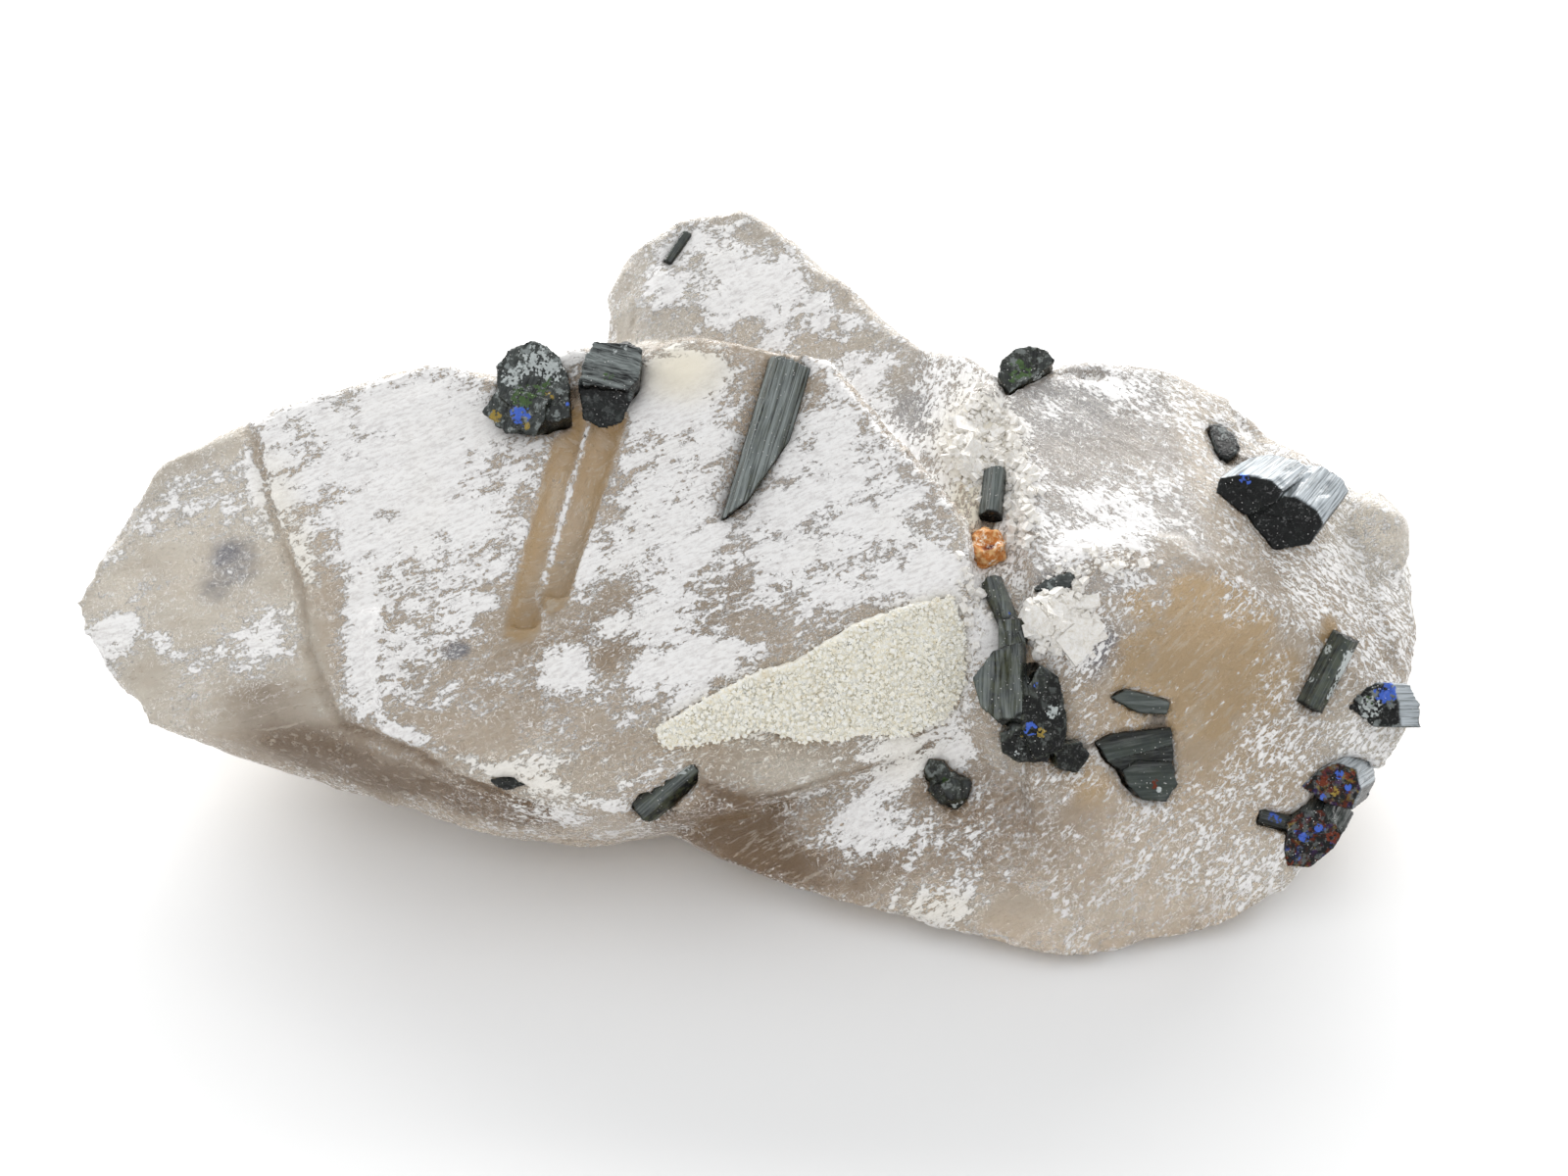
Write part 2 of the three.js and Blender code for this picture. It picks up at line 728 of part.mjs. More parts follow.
      tip: [-15.4, 21.2, 18],
      radius: 1.7,
      turn: 0.5,
      breaks: [{ at: [-15.8, 21.2, 17.8], facing: [0.9, 0.3, 0.2] }],
    },
  ],
  tourmaline_back_stub: [
    {
      foot: [30, 15, 19],
      tip: [32.4, 20.6, 20.2],
      radius: 1.9,
      turn: 0.2,
      breaks: [{ at: [32.2, 20.2, 20], facing: [0.3, 0.94, 0.2] }],
    },
  ],
};

// A lump of rust between the two valley rods.
const RUST_LUMP = { at: [18.8, -6.1, 24.2], half: [1.8, 2.3, 1.6], seed: 51 };

// The crust's outline on the steep front face, in plan.
const CRUST_OUTLINE = [
  [15.9, -11],
  [16.9, -12.6],
  [16.8, -14.6],
  [15.4, -16],
  [12.2, -17],
  [9, -17.4],
  [4.4, -18.2],
  [1.4, -18],
  [-1.4, -18.7],
  [-4.2, -19.4],
  [-6.2, -19.6],
  [-6.7, -19],
  [-3, -17.4],
  [0.8, -15.9],
  [4, -15],
  [8.2, -13.1],
  [12.4, -11.8],
];

// An outline moved outwards by a distance, corner by corner.
function spreadOutline(points, distance) {
  const outward = THREE.ShapeUtils.isClockWise(points) ? -1 : 1;
  return points.map((p, i) => {
    const before = points.at(i - 1);
    const after = points[(i + 1) % points.length];
    const a = p.clone().sub(before).normalize();
    const b = after.clone().sub(p).normalize();
    const side = new THREE.Vector2(a.y + b.y, -a.x - b.x).normalize();
    return p.clone().addScaledVector(side, outward * distance);
  });
}

// The crust as a plate that follows its outline, from sink below the face to rise above it.
function crustPlate(sink, rise, spread) {
  const up = normalOf("steepFront");
  const edge = onFace("steepFront", CRUST_OUTLINE).map(vector);
  const along = new THREE.Vector3(1, 0, 0).projectOnPlane(up).normalize();
  const uphill = up.clone().cross(along);
  const place = new THREE.Matrix4().makeBasis(along, uphill, up).setPosition(edge[0]);
  const flatten = place.clone().invert();
  const flat = edge.map((p) => {
    const local = p.clone().applyMatrix4(flatten);
    return new THREE.Vector2(local.x, local.y);
  });
  const shape = new THREE.Shape(spread > 0 ? spreadOutline(flat, spread) : flat);
  const geometry = new THREE.ExtrudeGeometry(shape, { depth: sink + rise, bevelEnabled: false });
  geometry.translate(0, 0, -sink);
  geometry.applyMatrix4(place);
  return toSolid(geometry);
}

function quartzSolid() {
  const grown = join([
    broadCrystal(),
    rearCrystal(),
    rightCrystal(),
    lowCrystal(),
    valleyGrowth(),
    ...LEDGES.map(ledge),
    ...KNOBS.map((knob) => lump(knob)),
  ]);
  return cut(grown, [
    ...CHIPS.map((chip) => lump(chip)),
    ...WORN_EDGES.flatMap(wear),
    ...MOULDS.map(({ foot, tip, radius }) => bar(roundSection(radius), foot, tip)),
    ...Object.values(TOURMALINES).flat().map(pocket),
    crustPlate(CRUST_SINK + SEAT_GAP, CRUST_RISE, SEAT_GAP),
    lump(RUST_LUMP, SEAT_GAP / (1 - LUMP_ROUGHNESS)),
    beyond([0, 0, 0], [0, 0, -1]),
  ]);
}

function named(name, solid, finish) {
  const mesh = new THREE.Mesh(toGeometry(solid), new THREE.MeshStandardMaterial(finish));
  mesh.name = name;
  return mesh;
}

function build() {
  const specimen = new THREE.Group();
  specimen.add(named("quartz_cluster", quartzSolid(), QUARTZ));
  specimen.add(named("albite_crust", crustPlate(CRUST_SINK, CRUST_RISE, 0), ALBITE));
  specimen.add(named("rust_lump", lump(RUST_LUMP), RUST));
  for (const [name, growths] of Object.entries(TOURMALINES)) {
    specimen.add(named(name, join(growths.map(growth)), TOURMALINE));
  }
  // The origin is the middle of the footprint, on the surface that the cluster lies on.
  const box = new THREE.Box3().setFromObject(specimen);
  const middle = box.getCenter(new THREE.Vector3());
  specimen.position.set(-middle.x, -middle.y, -box.min.z);
  return specimen;
}

export default build();
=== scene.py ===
"""Smoky quartz cluster with tourmaline rods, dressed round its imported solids.

Lengths in the classes are millimetres and Blender's are metres. X runs along the cluster, and its
best side faces -Y and up.
"""

from __future__ import annotations

import logging
import math
from dataclasses import dataclass
from enum import Enum
from typing import Iterable, Sequence, Union

import bpy
import numpy as np
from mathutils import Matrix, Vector
from mathutils.bvhtree import BVHTree


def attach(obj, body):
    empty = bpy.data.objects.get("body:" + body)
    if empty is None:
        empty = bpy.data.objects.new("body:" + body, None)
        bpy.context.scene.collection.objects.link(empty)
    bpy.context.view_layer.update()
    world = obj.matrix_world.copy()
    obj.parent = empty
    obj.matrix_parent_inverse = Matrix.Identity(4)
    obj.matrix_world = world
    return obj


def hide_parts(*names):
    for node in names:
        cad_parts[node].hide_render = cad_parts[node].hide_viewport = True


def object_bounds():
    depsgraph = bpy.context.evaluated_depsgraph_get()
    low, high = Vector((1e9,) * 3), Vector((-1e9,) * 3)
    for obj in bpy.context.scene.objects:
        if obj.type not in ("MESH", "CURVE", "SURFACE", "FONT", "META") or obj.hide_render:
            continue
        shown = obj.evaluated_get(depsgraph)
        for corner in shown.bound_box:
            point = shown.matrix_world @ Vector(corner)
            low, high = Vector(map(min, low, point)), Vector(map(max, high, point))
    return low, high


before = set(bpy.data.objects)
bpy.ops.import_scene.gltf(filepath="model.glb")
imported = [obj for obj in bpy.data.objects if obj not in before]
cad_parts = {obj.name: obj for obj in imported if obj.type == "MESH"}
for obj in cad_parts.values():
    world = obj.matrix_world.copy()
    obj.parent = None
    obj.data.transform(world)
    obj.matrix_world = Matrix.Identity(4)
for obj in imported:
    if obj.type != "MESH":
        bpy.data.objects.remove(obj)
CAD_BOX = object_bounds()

LOG = logging.getLogger("quartz_cluster")
MM = 0.001
BODY = "root"
CENTRING = np.array([0.036, 0.05, 0.0])  # the solids were moved by this to centre their footprint

Array = np.ndarray
Triple = tuple[float, float, float]
Colour = tuple[float, float, float, float]


# Numbers and noise on points

FULL_TINT = 255
SCREEN_GAMMA = 2.2
CELL_PRIMES = np.array([73856093, 19349663, 83492791])
SEED_PRIME = 961748927
MIXING = ((13, 1274126177), (15, 362437))  # the shift and the factor of each round
LOW_31_BITS = 0x7FFFFFFF
LOW_20_BITS = 0xFFFFF
DROPPED_BITS = 7  # the lowest ones, which are the least random
TURN = np.array([[0.36, 0.48, -0.8], [-0.8, 0.6, 0.0], [0.48, 0.64, 0.6]])  # sets noise askew
NOISE_SHIFT = 17.31  # between the noise of one seed and the next, in cells
CELL_SHIFT = 3.7  # the same between the cells of one seed and the next
LAYER_SEED = 31
LAYER_FADE = 0.55
LAYER_CONTRAST = 1.7
FAR_AWAY = 9.0  # further than the nearest cell ever is, in cells
TINY = 1e-6


def tint(red: int, green: int, blue: int) -> Colour:
    """A colour as a shader wants it, from its red, green and blue as seen, 0 to 255."""
    return (*(pow(part / FULL_TINT, SCREEN_GAMMA) for part in (red, green, blue)), 1.0)


def placed(point: Triple) -> Array:
    """A design point of the solids, moved to where it stands in the frame."""
    return np.asarray(point, dtype=float) + CENTRING


def eased(share: Array) -> Array:
    """Shares from 0 to 1, bent so that they start and end level."""
    return share * share * (3.0 - 2.0 * share)


def smooth(values: Array, low: float, high: float) -> Array:
    """A soft step.

    Args:
        values: what is tested.
        low: where the step begins.
        high: where it ends.

    Returns:
        0 below low, 1 above high, and a smooth rise between.
    """
    return eased(np.clip((values - low) / (high - low), 0.0, 1.0))


def scattered(cells: Array, seed: int) -> Array:
    """Random numbers for whole-number cells.

    Args:
        cells: one row of three whole numbers for each cell.
        seed: picks another set of numbers.

    Returns:
        A number from 0 to 1 for each row, the same each time.
    """
    whole = cells.astype(np.int64) * CELL_PRIMES
    mixed = whole[:, 0] ^ whole[:, 1] ^ whole[:, 2] ^ (seed * SEED_PRIME)
    for shift, factor in MIXING:
        mixed = ((mixed ^ (mixed >> shift)) * factor) & LOW_31_BITS
    return ((mixed >> DROPPED_BITS) & LOW_20_BITS) / LOW_20_BITS


def soft_noise(points: Array, size: float, seed: int) -> Array:
    """Smooth noise over points.

    Args:
        points: one row for each point.
        size: how wide its features are.
        seed: picks another pattern.

    Returns:
        A number from 0 to 1 for each point.
    """
    cell_places = points @ TURN / size + seed * NOISE_SHIFT
    base = np.floor(cell_places)
    part = eased(cell_places - base)
    total = np.zeros(len(points))
    for corner in np.ndindex(2, 2, 2):
        share = np.prod(np.where(np.array(corner) == 1, part, 1.0 - part), axis=1)
        total += share * scattered(base + np.array(corner), seed)
    return total


def layered(points: Array, size: float, seed: int, layers: int) -> Array:
    """Noise with finer and finer layers.

    Args:
        points: one row for each point.
        size: how wide its largest features are.
        seed: picks another pattern.
        layers: how many layers it has, each with features half as wide as the one before.

    Returns:
        A number from 0 to 1 for each point, 0.5 on average.
    """
    total = np.zeros(len(points))
    weight, weights = 1.0, 0.0
    for layer in range(layers):
        total += weight * soft_noise(points, size / 2**layer, seed + LAYER_SEED * layer)
        weights += weight
        weight *= LAYER_FADE
    return np.clip((total / weights - 0.5) * LAYER_CONTRAST + 0.5, 0.0, 1.0)


def waves(points: Array, size: float, seed: int, layers: int) -> Array:
    """Layered noise round 0: the same as layered, but from -0.5 to 0.5."""
    return layered(points, size, seed, layers) - 0.5


def facets(
    points: Array, size: float, seed: int, width: float, fade: float = 0.5, sunken: float = 0.5
) -> Array:
    """Raised and sunken cells, as broken grains make them, level where two of them meet.

    Args:
        points: one row for each point.
        size: how wide a cell is.
        seed: picks another pattern.
        width: how far out a cell reaches, as a share of size.
        fade: how far in from there it has its whole height, as a share of size.
        sunken: how many of the cells are sunken, as a share of all.

    Returns:
        A height for each point, from -sunken to 1 - sunken.
    """
    cell_places = points / size + seed * CELL_SHIFT
    base = np.floor(cell_places)
    away = np.full(len(points), FAR_AWAY)
    level = np.zeros(len(points))
    for corner in np.ndindex(3, 3, 3):
        cell = base + np.array(corner) - 1.0
        middle = cell + np.stack([scattered(cell, seed + k) for k in (1, 2, 3)], axis=1)
        distance = np.linalg.norm(cell_places - middle, axis=1)
        closer = distance < away
        away = np.where(closer, distance, away)
        level = np.where(closer, scattered(cell, seed + 4), level)
    return (level - sunken) * smooth(width - away, 0.0, fade)


@dataclass(frozen=True)
class Patch:
    """A named place on the cluster where something is stronger or weaker.

    Its reach is along X, Y and Z before turn, which turns it about Z by that many degrees.
    """

    name: str
    at: Triple
    reach: Triple
    amount: float
    turn: float = 0.0

    def weight(self, points: Array) -> Array:
        """How much of this patch each point gets.

        Args:
            points: one row of millimetres for each point.

        Returns:
            amount in the middle of the patch, fading to 0 past its reach.
        """
        away = points - np.array(self.at)
        angle = math.radians(self.turn)
        along = away[:, 0] * math.cos(angle) + away[:, 1] * math.sin(angle)
        across = away[:, 1] * math.cos(angle) - away[:, 0] * math.sin(angle)
        spread = np.stack([along, across, away[:, 2]], axis=1) / np.array(self.reach)
        cubed = (spread**2).sum(axis=1) ** 1.5
        return self.amount * np.exp(-cubed)


def total_weight(places: Iterable[Patch | SurfaceLine | Spot], points: Array) -> Array:
    """The sum of several patches, lines or spots at each point."""
    return sum((place.weight(points) for place in places), np.zeros(len(points)))


# Meshes

OWN_SHARE = 0.4  # how much of its own value a corner keeps when values are evened out


class FineMesh:
    """A closed mesh being worked: its corners in millimetres, their normals and its edges."""

    def __init__(self, mesh: bpy.types.Mesh) -> None:
        """Reads the corners and edges of a mesh.

        Args:
            mesh: a Blender mesh in metres.
        """
        self.mesh = mesh
        self.count = len(mesh.vertices)
        flat = np.empty(self.count * 3, dtype=np.float32)
        mesh.vertices.foreach_get("co", flat)
        self.points: Array = flat.reshape(-1, 3).astype(float) / MM
        pairs = np.empty(len(mesh.edges) * 2, dtype=np.int32)
        mesh.edges.foreach_get("vertices", pairs)
        self.pairs: Array = pairs.reshape(-1, 2)
        ends = np.concatenate([self.pairs[:, 0], self.pairs[:, 1]])
        self.neighbours: Array = np.bincount(ends, minlength=self.count).astype(float)
        self.normals: Array = self._read_normals()

    def _read_normals(self) -> Array:
        """The normal at each corner of the mesh as it is now."""
        flat = np.empty(self.count * 3, dtype=np.float32)
        self.mesh.vertices.foreach_get("normal", flat)
        return flat.reshape(-1, 3).astype(float)

    def settle(self) -> None:
        """Writes the moved corners to the mesh and reads its new normals."""
        self.mesh.vertices.foreach_set("co", (self.points * MM).astype(np.float32).ravel())
        self.mesh.update()
        self.normals = self._read_normals()

    def push(self, distance: Array) -> None:
        """Moves each corner along its normal.

        Args:
            distance: how far, in millimetres, outwards where positive.
        """
        self.points = self.points + self.normals * distance[:, None]
        self.settle()

    def relaxed(self, values: Array, times: int) -> Array:
        """Values evened out over the mesh.

        Args:
            values: one number or row for each corner.
            times: how many times each corner takes the mean of its neighbours.

        Returns:
            The evened values, in the same form.
        """
        columns = values.reshape(self.count, -1).copy()
        first, second = self.pairs[:, 0], self.pairs[:, 1]
        for _ in range(times):
            for k in range(columns.shape[1]):
                column = columns[:, k]
                total = np.bincount(first, column[second], self.count)
                total += np.bincount(second, column[first], self.count)
                others = (1.0 - OWN_SHARE) * total / np.maximum(self.neighbours, 1.0)
                columns[:, k] = OWN_SHARE * column + others
        return columns.reshape(values.shape)

    def bulge(self, times: int) -> Array:
        """How far each corner stands out of the surface round it.

        Args:
            times: how wide the surface round it is taken, in steps of a corner.

        Returns:
            Millimetres, positive on an outer edge and negative in a crease.
        """
        away = self.points - self.relaxed(self.points, times)
        return (away * self.normals).sum(axis=1)

    def paint(self, name: str, values: Array) -> None:
        """Keeps a number or a vector at each corner for the finish to read.

        Args:
            name: what the finish calls it.
            values: one number or row of three for each corner.
        """
        vector = values.ndim == 2
        kind = "FLOAT_VECTOR" if vector else "FLOAT"
        layer = self.mesh.attributes.new(name, kind, "POINT")
        layer.data.foreach_set("vector" if vector else "value", values.astype(np.float32).ravel())

    def paint_pattern(self, name: str, axes: Array) -> None:
        """Keeps the place in a pattern for the finish to read, with a clean break between patterns.

        Args:
            name: what the finish calls it.
            axes: the three axes of the pattern at each corner of the mesh.
        """
        corners = np.empty(len(self.mesh.loops), dtype=np.int32)
        self.mesh.loops.foreach_get("vertex_index", corners)
        counts = np.empty(len(self.mesh.polygons), dtype=np.int32)
        self.mesh.polygons.foreach_get("loop_total", counts)
        owners = np.repeat(corners[np.cumsum(counts) - counts], counts)
        places = np.einsum("nij,nj->ni", axes[owners], self.points[corners])
        layer = self.mesh.attributes.new(name, "FLOAT_VECTOR", "CORNER")
        layer.data.foreach_set("vector", places.astype(np.float32).ravel())

    def tree(self) -> BVHTree:
        """A search tree over this mesh, in millimetres."""
        loops = [tuple(polygon.vertices) for polygon in self.mesh.polygons]
        return BVHTree.FromPolygons([tuple(point) for point in self.points], loops)


def linked(name: str, mesh: bpy.types.Mesh) -> bpy.types.Object:
    """Puts a mesh into the scene as an object of its own.

    Args:
        name: the new object's name.
        mesh: what it shows.

    Returns:
        The object.
    """
    thing = bpy.data.objects.new(name, mesh)
    bpy.context.scene.collection.objects.link(thing)
    return thing


def fine_copy(node: str, name: str, voxel: float) -> bpy.types.Object:
    """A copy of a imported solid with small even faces, to be worked in detail.

    Args:
        node: the solid's name.
        name: the new object's name.
        voxel: the width of its faces in millimetres.

    Returns:
        The new object. The solid stays as it is.
    """
    thing = linked(name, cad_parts[node].data.copy())
    thing.data.materials.clear()
    fine = thing.modifiers.new("fine faces", "REMESH")
    fine.mode = "VOXEL"
    fine.voxel_size = voxel * MM
    fine.use_smooth_shade = True
    seen = thing.evaluated_get(bpy.context.evaluated_depsgraph_get())
    mesh = bpy.data.meshes.new_from_object(seen)
    mesh.name = name
    thing.modifiers.clear()
    thing.data = mesh
    return thing


def solid_tree(nodes: Iterable[str]) -> BVHTree:
    """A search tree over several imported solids.

    Args:
        nodes: the solids' names.

    Returns:
        The tree, in millimetres.
    """
    corners: list[Vector] = []
    loops: list[tuple[int, ...]] = []
    for node in nodes:
        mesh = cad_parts[node].data
        first = len(corners)
        corners += [vertex.co / MM for vertex in mesh.vertices]
        loops += [tuple(first + k for k in polygon.vertices) for polygon in mesh.polygons]
    return BVHTree.FromPolygons(corners, loops)


def nearest(tree: BVHTree, points: Array, reach: float) -> tuple[Array, Array]:
    """The nearest place of a tree to each point.

    Args:
        tree: what is searched.
        points: one row for each point.
        reach: how far it looks.

    Returns:
        The places, which are the points themselves where nothing is near, and the distances, which
        are reach there.
    """
    places = points.copy()
    away = np.full(len(points), reach)
    for k, point in enumerate(points):
        place, _, _, distance = tree.find_nearest(point, reach)
        if place is not None:
            places[k] = place
            away[k] = distance
    return places, away


BOX_CORNERS = np.array(list(np.ndindex(2, 2, 2)), dtype=float) * 2.0 - 1.0
BOX_SIDES = ((0, 1, 3, 2), (4, 6, 7, 5), (0, 4, 5, 1), (2, 3, 7, 6), (0, 2, 6, 4), (1, 5, 7, 3))


@dataclass(frozen=True)
class Grains:
    """Small broken grains: how many, how large, and how they are shaped and lie.

    sizes are the smallest and the largest half-length, and the larger rareness is, the fewer are
    large. flatness is a grain's height as a share of its length, and its width goes from narrowest
    up by widening. ragged is how far its corners are moved, lean how far it leans, rise how far it
    stands out, as a share of its size, and stray how far it is moved aside in millimetres.
    """

    count: int
    sizes: tuple[float, float]
    seed: int
    flatness: float = 0.75
    rareness: float = 2.2
    lean: float = 0.35
    ragged: tuple[float, float] = (-0.35, 0.25)
    narrowest: float = 0.55
    widening: float = 0.45
    rise: float = 0.25
    stray: float = 0.12

    def sown(self, name: str, host: FineMesh, weights: Array) -> bpy.types.Object:
        """Sows the grains over a surface, as one piece.

        Args:
            name: the piece's name.
            host: the surface.
            weights: how likely each of its corners is to carry a grain.

        Returns:
            The new object.
        """
        random = np.random.default_rng(self.seed)
        chosen = random.choice(host.count, size=self.count, p=weights / weights.sum())
        corners = np.empty((self.count, len(BOX_CORNERS), 3))
        smallest, largest = self.sizes
        for k, corner in enumerate(chosen):
            size = smallest + (largest - smallest) * random.random() ** self.rareness
            normal = host.normals[corner]
            up = normal + random.normal(0.0, self.lean, 3)
            up = up / np.linalg.norm(up)
            side = np.cross(up, random.normal(0.0, 1.0, 3))
            side /= np.linalg.norm(side)
            basis = np.stack([side, np.cross(up, side), up])
            shape = BOX_CORNERS * (1.0 + random.uniform(*self.ragged, BOX_CORNERS.shape))
            width = self.narrowest + self.widening * random.random()
            shape *= size * np.array([1.0, width, self.flatness])
            at = host.points[corner] + normal * size * self.rise + random.normal(0.0, self.stray, 3)
            corners[k] = at + shape @ basis
        sides = [
            tuple(k * len(BOX_CORNERS) + corner for corner in side)
            for k in range(self.count)
            for side in BOX_SIDES
        ]
        mesh = bpy.data.meshes.new(name)
        mesh.from_pydata((corners.reshape(-1, 3) * MM).tolist(), [], sides)
        mesh.validate()
        return linked(name, mesh)


# Shader nodes


Setting = Union[str, float, int, bool, Sequence]
Feed = Union["Value", float, int, Sequence[float]]


class Value:
    """An output socket that Python's arithmetic works on: each step adds a Math node."""

    def __init__(self, bench: Bench, socket: bpy.types.NodeSocket) -> None:
        """Wraps a socket.

        Args:
            bench: the material that the socket belongs to.
            socket: an output that carries a number, a colour or a vector.
        """
        self.bench = bench
        self.socket = socket

    def math(self, operation: str, *others: Feed) -> Value:
        """One Math node on this value.

        Args:
            operation: the node's operation.
            others: its further inputs.

        Returns:
            The node's output.
        """
        sockets = dict(enumerate((self, *others)))
        return self.bench.value("ShaderNodeMath", {"operation": operation}, sockets)

    def __add__(self, other: Feed) -> Value:
        """Sum."""
        return self.math("ADD", other)

    def __radd__(self, other: Feed) -> Value:
        """Sum, with the number first."""
        return self.math("ADD", other)

    def __sub__(self, other: Feed) -> Value:
        """Difference."""
        return self.math("SUBTRACT", other)

    def __rsub__(self, other: float) -> Value:
        """Difference from a number."""
        return self.bench.value("ShaderNodeMath", {"operation": "SUBTRACT"}, {0: other, 1: self})

    def __mul__(self, other: Feed) -> Value:
        """Product."""
        return self.math("MULTIPLY", other)

    def __rmul__(self, other: Feed) -> Value:
        """Product, with the number first."""
        return self.math("MULTIPLY", other)

    def most(self, other: Feed) -> Value:
        """The larger of the two."""
        return self.math("MAXIMUM", other)

    def step(self, low: float, high: float) -> Value:
        """A soft step of this value.

        Args:
            low: where it begins.
            high: where it ends.

        Returns:
            0 below low and 1 above high.
        """
        settings = {"interpolation_type": "SMOOTHSTEP", "clamp": True}
        sockets = {0: self, 1: low, 2: high, 3: 0.0, 4: 1.0}
        return self.bench.value("ShaderNodeMapRange", settings, sockets)


class Bench:
    """A material and its nodes, while they are being put together."""

    def __init__(self, name: str) -> None:
        """Starts an empty material.

        Args:
            name: the material's name.
        """
        self.material = bpy.data.materials.new(name)
        self.material.use_nodes = True
        self.tree = self.material.node_tree
        self.tree.nodes.clear()

    def node(
        self,
        kind: str,
        settings: dict[str, Setting] | None = None,
        sockets: dict[str | int, Feed] | None = None,
    ) -> bpy.types.Node:
        """Adds one node.

        Args:
            kind: its Blender type.
            settings: its own settings, which are set first. "stops" are a ramp's stops.
            sockets: a number, a colour or a link for each input, by name or number.

        Returns:
            The node.
        """
        made = self.tree.nodes.new(kind)
        for name, setting in (settings or {}).items():
            if name == "stops":
                ramp = made.color_ramp
                while len(ramp.elements) < len(setting):
                    ramp.elements.new(0.5)
                for stop, (place, colour) in zip(ramp.elements, setting):
                    stop.position = place
                    stop.color = colour
            else:
                setattr(made, name, setting)
        for name, feed in (sockets or {}).items():
            if isinstance(feed, Value):
                self.tree.links.new(feed.socket, made.inputs[name])
            else:
                made.inputs[name].default_value = feed
        return made

    def value(
        self,
        kind: str,
        settings: dict[str, Setting] | None = None,
        sockets: dict[str | int, Feed] | None = None,
        output: str | int = 0,
    ) -> Value:
        """Adds one node and takes one of its outputs.

        Args:
            kind: its Blender type.
            settings: its own settings.
            sockets: what its inputs get.
            output: which output, by name or number.

        Returns:
            The output.
        """
        return Value(self, self.node(kind, settings, sockets).outputs[output])

    def blend(self, share: Feed, first: Feed, second: Feed) -> Value:
        """Mixes two colours.

        Args:
            share: how much of the second.
            first: a colour.
            second: a colour.

        Returns:
            The mixed colour.
        """
        settings = {"data_type": "RGBA", "blend_type": "MIX"}
        return self.value("ShaderNodeMix", settings, {0: share, 6: first, 7: second}, 2)

    def painted(self, name: str) -> Value:
        """A number that was painted on the mesh."""
        return self.value("ShaderNodeAttribute", {"attribute_name": name}, output="Fac")

    def painted_vector(self, name: str) -> Value:
        """A vector that was painted on the mesh."""
        return self.value("ShaderNodeAttribute", {"attribute_name": name}, output="Vector")

    def millimetres(self) -> Value:
        """The place on the object in millimetres."""
        place = self.value("ShaderNodeTexCoord", output="Object")
        settings = {"operation": "SCALE"}
        return self.value("ShaderNodeVectorMath", settings, {0: place, "Scale": 1.0 / MM})

    def stretched(self, place: Value, scale: Triple) -> Value:
        """A place with each of its axes scaled, so that a pattern on it is drawn out."""
        return self.value("ShaderNodeVectorMath", {"operation": "MULTIPLY"}, {0: place, 1: scale})

    def noise(
        self, place: Value, size: float, detail: float, rough: float, warp: float = 0.0
    ) -> Value:
        """A noise pattern.

        Args:
            place: where it is read.
            size: how wide its features are, in the units of place.
            detail: how many finer layers it has.
            rough: how strong they are.
            warp: how much it is bent.

        Returns:
            A number round 0.5.
        """
        sockets = {"Vector": place, "Scale": 1.0 / size, "Detail": detail}
        sockets |= {"Roughness": rough, "Distortion": warp}
        return self.value("ShaderNodeTexNoise", None, sockets)

    def cells(self, place: Value, size: float, output: str = "Distance") -> Value:
        """A pattern of cells.

        Args:
            place: where it is read.
            size: how wide a cell is.
            output: Distance to a cell's middle, or its own Color.

        Returns:
            That output.
        """
        return self.value("ShaderNodeTexVoronoi", None, {"Vector": place, "Scale": 1.0 / size}, output)

    def relief(self, height: Value, depth: float, under: Value | None = None) -> Value:
        """A bump of the surface.

        Args:
            height: from 0 to 1.
            depth: how many millimetres 1 is.
            under: another relief that this one lies on.

        Returns:
            The bent normal.
        """
        sockets: dict[str | int, Feed] = {"Strength": 1.0, "Distance": depth * MM, "Height": height}
        if under is not None:
            sockets["Normal"] = under
        return self.value("ShaderNodeBump", None, sockets)

    def skin(self, sockets: dict[str | int, Feed]) -> Value:
        """A Principled surface, with what its inputs get."""
        return self.value("ShaderNodeBsdfPrincipled", None, sockets)

    def finish(self, surface: Value, volume: Value | None = None) -> bpy.types.Material:
        """Ends the material.

        Args:
            surface: its surface shader.
            volume: what the light passes through inside it.

        Returns:
            The material.
        """
        feeds: dict[str | int, Feed] = {"Surface": surface}
        if volume is not None:
            feeds["Volume"] = volume
        self.node("ShaderNodeOutputMaterial", None, feeds)
        return self.material


# Finishes


@dataclass(frozen=True)
class Streaks:
    """A noise pattern drawn out along the first axis of a painted pattern.

    scale is how much each axis is squeezed, and size, detail, rough and warp are those of the noise.
    """

    scale: Triple
    size: float
    detail: float
    rough: float
    warp: float = 0.0

    def on(self, bench: Bench, place: Value) -> Value:
        """The pattern at a place.

        Args:
            bench: the material that it is for.
            place: the painted place.

        Returns:
            A number round 0.5.
        """
        drawn = bench.stretched(place, self.scale)
        return bench.noise(drawn, self.size, self.detail, self.rough, self.warp)


